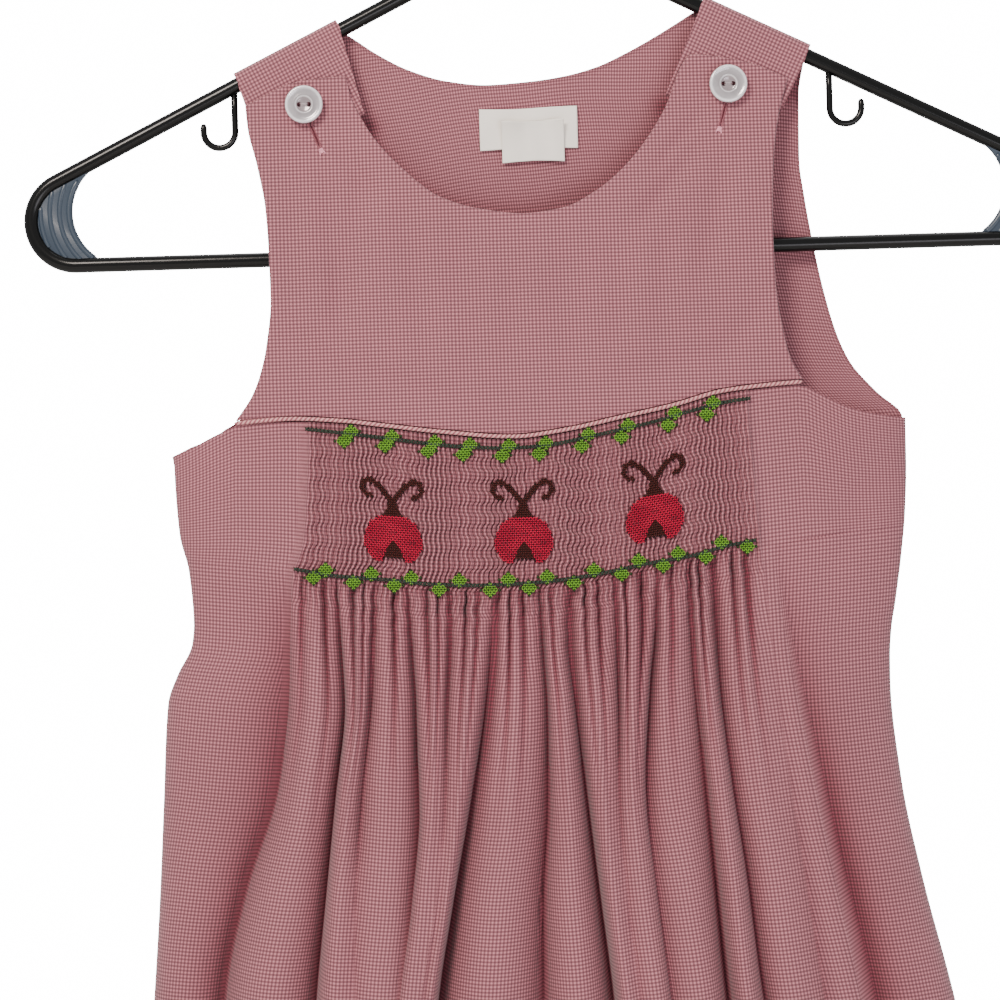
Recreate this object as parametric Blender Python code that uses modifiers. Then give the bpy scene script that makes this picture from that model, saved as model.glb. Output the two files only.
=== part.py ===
"""A child's smocked pinafore dress on a plastic clothes hanger.

The frame: the origin is the inner crown of the hanger's hook, +Z is up, +X is to the right as
seen from the front, and the dress faces -Y. Heights are given as drops below the hook, in
millimetres, so a larger drop is lower down.

Every cloth piece starts as an open surface, its plain inside, and a Solidify modifier grows the
wall outwards from it. The smocking pleats are raised in the outer points of that wall.
"""

import math

import bmesh
import bpy
from mathutils import Vector

MM = 0.001
GAP = 0.3

# Hanger
TUBE_RADIUS = 3.05
ARM_TOP_DROP = 75.0
ARM_SLOPE = math.radians(26.17)
ARM_BEND_RADIUS = 14.0
END_X = 191.0
END_DROP = 190.0
END_RADIUS = 18.2
HOOK_INNER_RADIUS = 21.0
HOOK_TIP_ANGLE = math.radians(196)
HOOK_LEAVE_ANGLE = math.radians(-60)
WEB_THICKNESS = 2.2
WEB_HOLLOW_X = 170.0
WEB_HOLLOW_DROP = 186.5
WEB_HOLLOW_RADIUS = 22.4
WEB_TIPS = (math.radians(-112), math.radians(-228))
STRAP_HOOK_RADIUS = 6.5
STRAP_HOOK_TUBE = 1.35
STRAP_HOOK_LIP = 3.5

# The small hooks under the arms. Columns: name, side, x of the stem, length of the stem
STRAP_HOOKS = (("left", -1, -124.1, 19.0), ("right", 1, 121.2, 18.0))

# Cloth
WALL = 1.1
PLEAT_WALL = 2.3
PIPING_RADIUS = 0.95
PIPING_STEPS = 34
STRAP_STEPS = 5
PLEATS = 96
PLEAT_CLOTH = 5.8
LEFT_FLAT = 54.0
RIGHT_FLAT = 61.0
HEM_DROP = 700.0
HEM_RISE = 6.0
SECTION_POWER = 2.4
SEAM_TURN = 1.3
SMOCK_TOP_DROP = 280.0
SMOCK_FOOT_DROP = 337.0
RIDGE_POWER = 0.6
FLAT_STEPS = 4

# Buttons, label and tab
BUTTON_RADIUS = 7.75
BUTTON_HOLE_RADIUS = 0.95
BUTTON_HOLE_SPACING = 3.9
BUTTON_SEAT = 6.0
LABEL_WALL = 0.8
TAB_CURL = 3.0

# The side seams' outer edges. Columns: drop, left x, right x
SIDE_SEAM = (
    (280, -153.6, 148.6),
    (300, -153.2, 148.4),
    (320, -152.0, 147.3),
    (335, -148.6, 145.6),
    (357, -147.2, 142.2),
    (366, -148.2, 140.5),
    (378, -154.4, 139.4),
    (390, -158.8, 139.2),
    (430, -161.7, 142.6),
    (470, -164.5, 150.0),
    (515, -168.4, 160.6),
    (600, -176.0, 178.0),
    (700, -186.0, 197.0),
)

# How far the inside of the cloth stands from the hanger's plane. Columns: drop, front at the
# middle, back at the middle, front at the edges, back at the edges
DEPTHS = (
    (105, 5.2, 3.8, 4.8, 3.8),
    (135, 5.3, 4.6, 4.8, 3.8),
    (150, 6.0, 5.2, 4.8, 3.7),
    (172, 8.0, 6.5, 4.8, 3.6),
    (208, 10.5, 8.5, 4.3, 3.6),
    (250, 12.5, 10.0, 2.2, 1.9),
    (284, 14.0, 11.0, 0.3, 0.3),
    (300, 15.0, 11.5, 0.0, 0.0),
    (340, 18.0, 13.5, 0.0, 0.0),
    (365, 22.0, 15.5, 0.0, 0.0),
    (390, 26.0, 18.0, 0.0, 0.0),
    (430, 31.5, 22.0, 0.0, 0.0),
    (520, 40.0, 29.0, 0.0, 0.0),
    (600, 46.0, 34.0, 0.0, 0.0),
    (700, 51.0, 39.0, 0.0, 0.0),
)

# The front armholes above the yoke seam. Columns: drop, left x, right x
FRONT_ARMHOLE = (
    (140, -119.6, 103.9),
    (155, -118.4, 99.6),
    (170, -115.0, 97.1),
    (188, -112.0, 95.8),
    (205, -111.1, 95.4),
    (225, -110.8, 95.8),
    (245, -113.2, 98.4),
    (257, -116.3, 101.4),
    (265, -119.8, 106.0),
    (275, -127.0, 112.0),
)

# The back armholes. Columns: drop, left x, right x
BACK_ARMHOLE = (
    (130, -122.2, 112.1),
    (146, -117.0, 109.2),
    (173, -110.0, 108.8),
    (187, -108.5, 110.4),
    (205, -107.5, 113.2),
    (224, -107.5, 116.8),
    (244, -110.0, 121.9),
    (257, -114.0, 127.4),
    (270, -122.0, 138.0),
    (280, -136.0, 147.5),
    (288, -152.5, 147.5),
)

# The yoke's top edge: left strap, neck and right strap. Columns: x, drop
FRONT_TOP = (
    (-119.4, 145.5),
    (-96.2, 135.8),
    (-77.7, 134.4),
    (-75.9, 143.0),
    (-71.3, 152.5),
    (-67.0, 160.0),
    (-56.3, 172.4),
    (-40.3, 185.4),
    (-24.1, 190.8),
    (-6.0, 193.2),
    (10.2, 191.2),
    (23.6, 184.6),
    (34.0, 176.4),
    (43.3, 166.0),
    (53.2, 150.6),
    (60.3, 133.6),
    (64.1, 129.6),
    (77.1, 131.2),
    (90.1, 134.4),
    (103.8, 140.5),
)

# The back neck. Columns: x, drop
BACK_NECK = (
    (-79.5, 114.1),
    (-75.2, 116.8),
    (-65.1, 123.8),
    (-52.1, 130.8),
    (-36.6, 135.8),
    (-20.0, 137.9),
    (-1.1, 136.9),
    (12.1, 135.2),
    (25.4, 131.9),
    (38.8, 126.1),
    (49.3, 120.6),
    (60.2, 114.3),
    (69.0, 108.9),
)

# The back straps, which cross the arms and end behind the yoke. Columns: name, outer x and
# inner x on the arm, then x and drop of the outer and the inner corner of the end
STRAPS = (
    ("left", -122.2, -79.5, -111.0, 170.0, -70.4, 149.7),
    ("right", 112.1, 69.0, 94.5, 166.0, 53.5, 145.5),
)

# The seam between yoke and skirt. Columns: x, drop
YOKE_SEAM = (
    (-127.5, 275.6),
    (-105.0, 274.4),
    (-85.0, 275.7),
    (-65.0, 278.4),
    (-44.0, 281.4),
    (-12.0, 284.4),
    (8.0, 282.2),
    (30.0, 277.9),
    (52.0, 273.5),
    (73.0, 268.2),
    (94.0, 266.1),
    (105.5, 265.4),
)

# The skirt's own part of each front armhole. Columns: x, drop
SKIRT_ARMHOLE_LEFT = ((-153.6, 288.4), (-146.0, 285.4), (-135.2, 280.2), (-127.5, 276.9))
SKIRT_ARMHOLE_RIGHT = ((105.5, 266.7), (114.7, 271.8), (126.4, 277.1), (141.4, 280.2), (148.6, 281.0))

# The sides of the smocked panel. Columns: drop, left x, right x
SMOCK_SIDES = (
    (270, -96.8, 82.4),
    (290, -97.2, 83.0),
    (305, -98.3, 84.0),
    (325, -100.2, 85.2),
    (337, -104.6, 86.0),
)

# The foot of the smocked panel, carried on to the side seams. Columns: x, drop
SMOCK_FOOT = (
    (-155.0, 331.0),
    (-105.4, 336.3),
    (-88.7, 339.3),
    (-67.5, 341.6),
    (-45.9, 344.0),
    (-24.6, 345.0),
    (-4.1, 344.4),
    (17.2, 342.0),
    (39.0, 338.4),
    (60.4, 334.6),
    (85.1, 330.0),
    (150.0, 325.0),
)

# The valleys between the skirt's folds. LEVELS are their drops. Columns: name, pleat that the
# valley starts from, its x at each level, its depth at each level
LEVELS = (340, 365, 390, 430, 470, 510, 600, 700)
VALLEYS = (
    ("a", 0, (-105, -107, -108, -114, -128, -138, -147, -155), (0, 7, 10, 13, 16, 18, 19, 18)),
    ("b", 9, (-87, -86, -85, -90, -95, -100, -108, -116), (0, 6, 9, 13, 17, 19, 20, 19)),
    ("d", 18, (-70, -72, -74, -79, -82, -83, -86, -90), (0, 5, 8, 8, 4, 3, 6, 8)),
    ("e", 24, (-58, -57, -56, -56, -60, -66, -74, -80), (0, 6, 9, 12, 9, 4, 3, 4)),
    ("f", 33, (-40, -41, -43, -45, -50, -57, -64, -70), (0, 6, 7, 4, 0, 0, 0, 0)),
    ("g", 42, (-23, -25, -28, -35, -43, -50, -58, -66), (0, 6, 10, 15, 20, 22, 21, 19)),
    ("i", 51, (-5, -4, -3, -4, -7, -8, -10, -12), (0, 6, 9, 13, 16, 18, 18, 17)),
    ("j", 57, (7, 6.5, 8.5, 12, 16, 20, 26, 33), (0, 6, 9, 14, 19, 22, 22, 20)),
    ("l", 66, (25, 26, 26, 25, 27, 31, 38, 46), (0, 6, 8, 5, 3, 3, 5, 6)),
    ("m", 75, (43, 42, 39, 36, 39, 43, 51, 60), (0, 6, 9, 10, 8, 8, 10, 11)),
    ("n", 81, (55, 56, 57, 60, 63, 66, 74, 84), (0, 6, 8, 12, 16, 19, 20, 19)),
    ("o", 87, (67, 67, 67.5, 71, 76, 80, 92, 105), (0, 6, 8, 10, 12, 13, 13, 12)),
    ("end", 96, (86, 88, 90, 94, 99, 104, 116, 130), (0, 0, 1, 2, 4, 5, 6, 6)),
    ("p", 97.6, (92, 95.5, 100, 108, 116, 125, 140, 156), (0, 3, 6, 10, 13, 16, 18, 17)),
)

# The gathers just under the smocking, three pleats in each. Columns: drop, depth
GATHER_PLEATS = 3
GATHERS = ((340, 0.0), (348, 1.8), (358, 2.7), (372, 2.3), (392, 1.1), (412, 0.0))

# The soft flutes of the plain back. Columns: drop, depth
BACK_FLUTE_WIDTH = 78.0
BACK_FLUTES = ((330, 0.0), (430, 3.0), (560, 8.0), (700, 12.0))

# The rows of points, as shares of the way down each zone
SMOCK_ROWS = (0.0, 0.12, 0.56, 1.0)
GATHER_ROWS = (0.012, 0.037, 0.07, 0.115)
SKIRT_ROWS = (0.165, 0.22, 0.285, 0.36, 0.44, 0.53, 0.63, 0.75, 0.87, 1.0)
BACK_LOW_ROWS = (1.0, 0.84, 0.68, 0.53, 0.4, 0.31, 0.245, 0.2, 0.165, 0.12, 0.06, 0.0)
BACK_HIGH_ROWS = (0.04, 0.09, 0.17, 0.28, 0.42, 0.58, 0.74, 0.88, 1.0)
YOKE_TOP_STEPS = (3, 2, 1, 1, 1, 1, 2, 2, 2, 2, 2, 1, 1, 1, 1, 1, 2, 2, 2)
YOKE_ROWS = (0.0, 0.06, 0.14, 0.24, 0.36, 0.5, 0.64, 0.78, 0.9, 1.0)

# Colours, linear. Columns: name, colour, roughness
FINISHES = (
    ("pink_gingham", (0.68, 0.29, 0.34, 1.0), 0.85),
    ("pink_smocking", (0.64, 0.26, 0.32, 1.0), 0.85),
    ("pink_piping", (0.75, 0.42, 0.46, 1.0), 0.8),
    ("black_plastic", (0.008, 0.008, 0.01, 1.0), 0.22),
    ("pearl_plastic", (0.78, 0.76, 0.78, 1.0), 0.15),
    ("white_ribbon", (0.82, 0.8, 0.76, 1.0), 0.6),
)


def read(table, key, column=1):
    """The value of a table's column at a key, on a smooth curve that never overshoots its rows."""
    keys = [row[0] for row in table]
    values = [row[column] for row in table]
    if key <= keys[0]:
        return values[0]
    if key >= keys[-1]:
        return values[-1]
    i = max(n for n in range(len(keys) - 1) if keys[n] <= key)
    rises = [(values[n + 1] - values[n]) / (keys[n + 1] - keys[n]) for n in range(len(keys) - 1)]

    def slope(n):
        if n == 0 or n == len(keys) - 1:
            return rises[min(n, len(rises) - 1)]
        if rises[n - 1] * rises[n] <= 0:
            return 0.0
        return 2 * rises[n - 1] * rises[n] / (rises[n - 1] + rises[n])

    span = keys[i + 1] - keys[i]
    t = (key - keys[i]) / span
    start = values[i] * (1 + 2 * t) * (1 - t) ** 2 + slope(i) * span * t * (1 - t) ** 2
    end = values[i + 1] * (3 - 2 * t) * t**2 - slope(i + 1) * span * (1 - t) * t**2
    return start + end


def mix(a, b, t):
    return a + (b - a) * t


def point(x, y, drop):
    """A point from millimetres, with its height given as a drop."""
    return Vector((x * MM, y * MM, -drop * MM))


def meet_seam(side, row_drop):
    """Where a row meets a side seam: its x, for a row whose drop is given as a function of x."""
    x = 0.0
    for _ in range(6):
        x = seams_at(row_drop(x))[side]
    return x


def seams_at(drop):
    """The inside of the cloth at the left and the right side seam."""
    return read(SIDE_SEAM, drop, 1) + WALL, read(SIDE_SEAM, drop, 2) - WALL


def section(x, drop):
    """0 at the side seams and 1 in the middle: the round of the body across its width."""
    left, right = seams_at(drop)
    share = min(1.0, abs(2 * x - left - right) / (right - left))
    return math.sqrt(1 - share**SECTION_POWER)


def front_depth(x, drop):
    edge = read(DEPTHS, drop, 3)
    return mix(edge, read(DEPTHS, drop, 1), section(x, drop))


def back_depth(x, drop):
    edge = read(DEPTHS, drop, 4)
    round_of_body = section(x, drop)
    flute = read(BACK_FLUTES, drop) * (0.5 - 0.5 * math.cos(2 * math.pi * x / BACK_FLUTE_WIDTH))
    return mix(edge, read(DEPTHS, drop, 2), round_of_body) - flute * round_of_body


def arm_drop(x):
    """The centre line of the hanger's arms."""
    return ARM_TOP_DROP + abs(x) * math.tan(ARM_SLOPE)


def hem_drop(x):
    return HEM_DROP - HEM_RISE * (x / read(SIDE_SEAM, HEM_DROP, 2)) ** 2


def collection(name, shown=True):
    made = bpy.data.collections.new(name)
    made.hide_render = not shown
    bpy.context.scene.collection.children.link(made)
    return made


def finishes():
    made = {}
    for name, colour, roughness in FINISHES:
        material = bpy.data.materials.new(name)
        material.use_nodes = True
        shader = material.node_tree.nodes["Principled BSDF"]
        shader.inputs["Base Color"].default_value = colour
        shader.inputs["Roughness"].default_value = roughness
        shader.inputs["Metallic"].default_value = 0.0
        material.diffuse_color = colour
        made[name] = material
    return made


def add(name, mesh, into, material):
    made = bpy.data.objects.new(name, mesh)
    mesh.materials.append(material)
    into.objects.link(made)
    return made


def sheet(name, rows, into, material, wall=WALL):
    """A cloth piece from rows of points, each a list of (place along the cloth, point).

    Rows may hold unlike counts: each pair is laced together by the places of its points. The
    first row is the top one, and the wall grows towards the side that sees the rows' first
    points on its left.
    """
    shape = bmesh.new()
    laid = [[(place, shape.verts.new(where)) for place, where in row] for row in rows]
    for upper, lower in zip(laid, laid[1:]):
        lace(shape, upper, lower)
    return walled(name, shape, into, material, wall)


def walled(name, shape, into, material, wall):
    """An open surface made a wall: the surface is its inside, and it grows outwards."""
    mesh = bpy.data.meshes.new(name)
    shape.to_mesh(mesh)
    shape.free()
    made = add(name, mesh, into, material)
    grow = made.modifiers.new("wall", "SOLIDIFY")
    grow.thickness = wall * MM
    grow.offset = 1.0
    grow.use_even_offset = True
    return made


def lace(shape, upper, lower):
    """Faces between two rows: quads where their places match, and triangles where they don't."""
    i = j = 0
    while i < len(upper) - 1 or j < len(lower) - 1:
        up = upper[i + 1][0] if i < len(upper) - 1 else math.inf
        down = lower[j + 1][0] if j < len(lower) - 1 else math.inf
        if abs(up - down) < 1e-6:
            shape.faces.new((upper[i][1], lower[j][1], lower[j + 1][1], upper[i + 1][1]))
            i += 1
            j += 1
        elif up < down:
            shape.faces.new((upper[i][1], lower[j][1], upper[i + 1][1]))
            i += 1
        else:
            shape.faces.new((upper[i][1], lower[j][1], lower[j + 1][1]))
            j += 1


def tube_mesh(name, points, radius, resolution, closed=False, tip_radii=()):
    """A round tube through points as a welded mesh. tip_radii thin its last points."""
    curve = bpy.data.curves.new(name, "CURVE")
    curve.dimensions = "3D"
    curve.bevel_depth = radius * MM
    curve.bevel_resolution = resolution
    curve.use_fill_caps = True
    spline = curve.splines.new("POLY")
    spline.points.add(len(points) - 1)
    for target, where in zip(spline.points, points):
        target.co = (*where, 1.0)
    for target, share in zip(reversed(spline.points), tip_radii):
        target.radius = share
    spline.use_cyclic_u = closed
    return welded_mesh(name, curve)


def plate_mesh(name, outline, thickness):
    """A flat plate in the hanger's plane from an outline of (x, drop)."""
    curve = bpy.data.curves.new(name, "CURVE")
    curve.dimensions = "2D"
    curve.fill_mode = "BOTH"
    curve.extrude = thickness / 2 * MM
    spline = curve.splines.new("POLY")
    spline.points.add(len(outline) - 1)
    for target, (x, drop) in zip(spline.points, outline):
        target.co = (x * MM, -drop * MM, 0.0, 1.0)
    spline.use_cyclic_u = True
    mesh = welded_mesh(name, curve)
    for vertex in mesh.vertices:
        flat = vertex.co.copy()
        vertex.co = (flat.x, -flat.z, flat.y)
    return mesh


def welded_mesh(name, curve):
    source = bpy.data.objects.new(name, curve)
    bpy.context.scene.collection.objects.link(source)
    graph = bpy.context.evaluated_depsgraph_get()
    mesh = bpy.data.meshes.new_from_object(source.evaluated_get(graph))
    bpy.data.objects.remove(source)
    shape = bmesh.new()
    shape.from_mesh(mesh)
    bmesh.ops.remove_doubles(shape, verts=shape.verts, dist=1e-6)
    bmesh.ops.recalc_face_normals(shape, faces=shape.faces)
    shape.to_mesh(mesh)
    shape.free()
    return mesh


def boolean(target, tool, operation, cutters):
    cutters.objects.link(tool)
    tool.hide_render = True
    tool.display_type = "WIRE"
    step = target.modifiers.new(tool.name, "BOOLEAN")
    step.operation = operation
    step.object = tool


def smooth(made, angle=40):
    made.data.shade_smooth()
    made.data.set_sharp_from_angle(angle=math.radians(angle))


def arc(x, drop, radius, start, end, steps):
    """Points on a circle in the hanger's plane. Angles are counted from +X towards +Z."""
    turns = [mix(start, end, n / steps) for n in range(steps + 1)]
    return [point(x + radius * math.cos(a), 0, drop - radius * math.sin(a)) for a in turns]


def hanger_loop():
    """The closed tube: over the top, down the right arm, round its end and along the bar."""
    steep = math.pi / 2 - ARM_SLOPE
    top_drop = ARM_TOP_DROP + ARM_BEND_RADIUS / math.cos(ARM_SLOPE)
    top = arc(0, top_drop, ARM_BEND_RADIUS, math.pi - steep, steep, 6)
    right = arc(END_X, END_DROP, END_RADIUS, steep, -math.pi / 2, 12)
    left = arc(-END_X, END_DROP, END_RADIUS, -math.pi / 2, -math.pi - steep, 12)
    return top + right + left


def hook_points():
    """The hook from its stem to its tip."""
    radius = HOOK_INNER_RADIUS + TUBE_RADIUS
    stem_drop = HOOK_INNER_RADIUS + radius * 2 * math.sin(-HOOK_LEAVE_ANGLE)
    stem = [point(0, 0, ARM_TOP_DROP + TUBE_RADIUS)]
    rise = arc(radius, stem_drop, radius, math.pi, math.pi + HOOK_LEAVE_ANGLE, 6)
    crown = arc(0, HOOK_INNER_RADIUS, radius, HOOK_LEAVE_ANGLE, HOOK_TIP_ANGLE, 24)
    return stem + rise + crown[1:]


def strap_hook_points(side, x, stem):
    """A small open hook under an arm, which curls away from the middle."""
    low = arm_drop(x) + stem
    start = math.pi if side > 0 else 0.0
    end = 2 * math.pi if side > 0 else -math.pi
    curl = arc(x + side * STRAP_HOOK_RADIUS, low, STRAP_HOOK_RADIUS, start, end, 9)
    lip = point(x + side * 2 * STRAP_HOOK_RADIUS, 0, low - STRAP_HOOK_LIP)
    return [point(x, 0, arm_drop(x))] + curl + [lip]


def web_outline(side):
    """The crescent web inside an end of the hanger, as (x, drop)."""
    steep = math.pi / 2 - ARM_SLOPE
    outer = [mix(steep, -math.pi / 2, n / 12) for n in range(13)]
    inner = [mix(*WEB_TIPS, n / 12) for n in range(13)]
    back = [
        (END_X + END_RADIUS * math.cos(a), END_DROP - END_RADIUS * math.sin(a)) for a in outer
    ]
    hollow = [
        (
            WEB_HOLLOW_X - WEB_HOLLOW_RADIUS * math.cos(a),
            WEB_HOLLOW_DROP - WEB_HOLLOW_RADIUS * math.sin(a),
        )
        for a in inner
    ]
    outline = [(side * x, drop) for x, drop in back + hollow]
    return outline if side > 0 else outline[::-1]


def hanger(into, cutters, finish):
    loop = tube_mesh("hanger_loop", hanger_loop(), TUBE_RADIUS, 3, closed=True)
    made = add("hanger", loop, into, finish["black_plastic"])
    tools = [("hook", tube_mesh("hook", hook_points(), TUBE_RADIUS, 3, tip_radii=(0.55, 0.9)))]
    for name, side, x, stem in STRAP_HOOKS:
        tools.append((f"web_{name}", plate_mesh(f"web_{name}", web_outline(side), WEB_THICKNESS)))
        curl = strap_hook_points(side, x, stem)
        small = tube_mesh(f"strap_hook_{name}", curl, STRAP_HOOK_TUBE, 2, tip_radii=(0.7,))
        tools.append((f"strap_hook_{name}", small))
    for name, mesh in tools:
        boolean(made, bpy.data.objects.new(name, mesh), "UNION", cutters)
    smooth(made)
    return made


def yoke_sides(drop):
    return read(FRONT_ARMHOLE, drop, 1), read(FRONT_ARMHOLE, drop, 2)


def back_sides(drop):
    """The back's edges: the armholes, and the side seams below them."""
    left, right = seams_at(drop)
    if drop < BACK_ARMHOLE[-1][0]:
        left = read(BACK_ARMHOLE, drop, 1)
        right = min(right, read(BACK_ARMHOLE, drop, 2))
    return left, right


def column_share(sides, x, drop):
    left, right = sides(drop)
    return min(1.0, max(0.0, (x - left) / (right - left)))


def column_x(sides, share, drop):
    left, right = sides(drop)
    return mix(left, right, share)


def where_column_meets(sides, share, edge):
    """The drop at which a column crosses an edge given as a function of x."""
    drop = edge(0.0)
    for _ in range(12):
        drop = edge(column_x(sides, share, drop))
    return drop


def spread(table, counts):
    """Places on a table's line: between each row and the next, the given number of steps."""
    places = [table[0][0]]
    for (start, *_), (end, *_), count in zip(table, table[1:], counts):
        places += [mix(start, end, n / count) for n in range(1, count + 1)]
    return places


def yoke_foot(x):
    return read(YOKE_SEAM, x) - PIPING_RADIUS - GAP


def front_yoke(into, finish):
    """The plain upper front, from the yoke seam to the neck and the two front straps."""
    tops = [(x, read(FRONT_TOP, x)) for x in spread(FRONT_TOP, YOKE_TOP_STEPS)]
    columns = []
    for x, top in tops:
        share = column_share(yoke_sides, x, top)
        low = where_column_meets(yoke_sides, share, yoke_foot)
        drops = [mix(top, low, t) for t in YOKE_ROWS]
        columns.append([(column_x(yoke_sides, share, drop), drop) for drop in drops])
    rows = [
        [(n, point(x, -front_depth(x, drop), drop)) for n, (x, drop) in enumerate(row)]
        for row in zip(*columns)
    ]
    return sheet("front_yoke", rows, into, finish["pink_gingham"])


def yoke_piping(into, finish):
    """The covered cord that lies in the yoke seam."""
    start, end = YOKE_SEAM[0][0] + PIPING_RADIUS, YOKE_SEAM[-1][0] - PIPING_RADIUS / 2
    line = []
    for n in range(PIPING_STEPS + 1):
        x = mix(start, end, n / PIPING_STEPS)
        drop = read(YOKE_SEAM, x)
        line.append(point(x, -front_depth(x, drop) - WALL / 2 - GAP, drop))
    mesh = tube_mesh("yoke_piping", line, PIPING_RADIUS, 1)
    made = add("yoke_piping", mesh, into, finish["pink_piping"])
    smooth(made, 60)
    return made


def skirt_top(x):
    if x < YOKE_SEAM[0][0]:
        return read(SKIRT_ARMHOLE_LEFT, x)
    if x > YOKE_SEAM[-1][0]:
        return read(SKIRT_ARMHOLE_RIGHT, x)
    return read(YOKE_SEAM, x) + PIPING_RADIUS + GAP


def pleat_place(pleat):
    """A pleat's place along the flat cloth, from the left side seam."""
    return LEFT_FLAT + pleat * PLEAT_CLOTH


CLOTH_WIDTH = LEFT_FLAT + PLEATS * PLEAT_CLOTH + RIGHT_FLAT


def with_sides(row, left, right):
    """Adds to a row of (place, x) its side seams, each turned for a little way towards the back."""
    turned = SEAM_TURN
    return [(0.0, left, 0.0), (turned, left, turned)] + [
        (place, x, None) for place, x in row
    ] + [(CLOTH_WIDTH - turned, right, turned), (CLOTH_WIDTH, right, 0.0)]


def flats(left_x, start_x, end_x, right_x, start, end):
    """The places between each side seam and the folded middle of a row."""
    shares = [n / FLAT_STEPS for n in range(1, FLAT_STEPS)]
    before = [(start * t, mix(left_x, start_x, t)) for t in shares]
    after = [(mix(end, CLOTH_WIDTH, t), mix(end_x, right_x, t)) for t in shares]
    return before, after


def front_point(place, x, turned, drop, dip=0.0):
    """A point of the skirt's inside. turned is its distance from the seam along the turn."""
    depth = max(front_depth(x, drop) - dip, SEAM_TURN)
    if turned is not None:
        depth = turned + GAP / 2
    return place, point(x, -depth, drop)


def smock_row(share):
    """A row across the smocked panel, two points a pleat."""
    nominal = mix(SMOCK_TOP_DROP, SMOCK_FOOT_DROP, share)

    def row_drop(x):
        return mix(skirt_top(x), read(SMOCK_FOOT, x), share)

    left, right = meet_seam(0, row_drop), meet_seam(1, row_drop)
    start, end = read(SMOCK_SIDES, nominal, 1), read(SMOCK_SIDES, nominal, 2)
    half_pleats = [n / 2 for n in range(2 * PLEATS + 1)]
    middle = [(pleat_place(pleat), mix(start, end, pleat / PLEATS)) for pleat in half_pleats]
    before, after = flats(left, start, end, right, middle[0][0], middle[-1][0])
    row = []
    for place, x, turned in with_sides(before + middle + after, left, right):
        row.append(front_point(place, x, turned, row_drop(x)))
    return row


def valley_lines(drop):
    """(place, x, depth) of each valley at a drop."""
    found = []
    for _, pleat, places, depths in VALLEYS:
        x = read(tuple(zip(LEVELS, places)), drop)
        depth = read(tuple(zip(LEVELS, depths)), drop)
        found.append((pleat_place(pleat), x, depth))
    return found


def valley_dip(lines, place):
    """(x, dip, ridge) at a place along the cloth: ridges stay outside, and valleys go in."""
    i = max(n for n in range(len(lines) - 1) if lines[n][0] <= place)
    (start, x0, depth0), (end, x1, depth1) = lines[i], lines[i + 1]
    t = (place - start) / (end - start)
    ridge = math.sin(math.pi * t) ** RIDGE_POWER if 0 < t < 1 else 0.0
    return mix(x0, x1, t), mix(depth0, depth1, t) * (1 - ridge), ridge


def fold_row(share, places_of):
    """A row of the skirt below the smocking."""
    nominal = mix(LEVELS[0], HEM_DROP, share)
    lines = valley_lines(nominal)

    def row_drop(x):
        return mix(read(SMOCK_FOOT, x), hem_drop(x), share)

    left, right = meet_seam(0, row_drop), meet_seam(1, row_drop)
    middle = places_of(lines)
    before, after = flats(left, lines[0][1], lines[-1][1], right, lines[0][0], lines[-1][0])
    row = []
    held = {}
    for place in middle:
        x, dip, ridge = valley_dip(lines, place)
        held[place] = dip + gather_dip(nominal, place) * (0.4 + 0.6 * ridge)
        before.append((place, x))
    for place, x, turned in with_sides(before + after, left, right):
        row.append(front_point(place, x, turned, row_drop(x), held.get(place, 0.0)))
    return row


def gather_dip(drop, place):
    """How far the small gathers under the smocking go in at a place along the cloth."""
    turn = (place - LEFT_FLAT) / (PLEAT_CLOTH * GATHER_PLEATS)
    if not 0 <= turn <= PLEATS / GATHER_PLEATS:
        return 0.0
    uneven = 0.8 + 0.2 * math.sin(2.4 * math.floor(turn))
    return read(GATHERS, drop) * uneven * (1 - abs(math.sin(math.pi * turn)))


def gather_places(lines):
    """Four places a gather, and one on the valley beside the smocking."""
    count = PLEATS // GATHER_PLEATS * 4
    return [pleat_place(PLEATS * n / count) for n in range(count + 1)] + [lines[-1][0]]


def fold_places(lines):
    """Five places a fold, the first close to the valley."""
    places = []
    for (start, x0, _), (end, x1, _) in zip(lines, lines[1:]):
        near = min(0.27, max(0.12, 2.6 / (x1 - x0)))
        places += [mix(start, end, t) for t in (0, near, 0.4, 0.6, 1 - near)]
    return places + [lines[-1][0]]


def front_skirt(into, finish):
    """The lower front in one piece: side flats, smocked panel and gathered skirt."""
    smocked = [smock_row(share) for share in SMOCK_ROWS]
    gathered = [fold_row(share, gather_places) for share in GATHER_ROWS]
    folded = [fold_row(share, fold_places) for share in SKIRT_ROWS]
    rows = smocked + gathered + folded
    made = sheet("front_skirt", rows, into, finish["pink_smocking"], PLEAT_WALL)
    raised = made.vertex_groups.new(name="raised")
    first = 0
    for row in smocked:
        for n, (place, _) in enumerate(row):
            turn = (place - LEFT_FLAT) / PLEAT_CLOTH
            on_crest = 0 < turn < PLEATS and abs(turn % 1 - 0.5) < 0.01
            if on_crest and row is not smocked[0]:
                raised.add([first + n], 1.0, "REPLACE")
        first += len(row)
    grow = made.modifiers["wall"]
    grow.vertex_group = raised.name
    grow.thickness_vertex_group = WALL / PLEAT_WALL
    return made


def strap_wrap(x, end_x, end_drop):
    """A strap column from its end in front, up and over the arm, to behind the arm."""
    radius = TUBE_RADIUS + GAP
    up_x = math.copysign(math.sin(ARM_SLOPE), x)
    up_drop = -math.cos(ARM_SLOPE)
    lean = radius * math.tan(math.radians(12))
    column = []
    for t in (1.0, 0.66, 0.33):
        column.append(point(mix(x, end_x, t), -radius, mix(arm_drop(x) + lean, end_drop, t)))
    for turn in (90, 60, 30, 0, -30, -60):
        across = radius * math.cos(math.radians(turn))
        depth = radius * math.sin(math.radians(turn))
        column.append(point(x + across * up_x, -depth, arm_drop(x) + across * up_drop))
    return column


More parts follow.
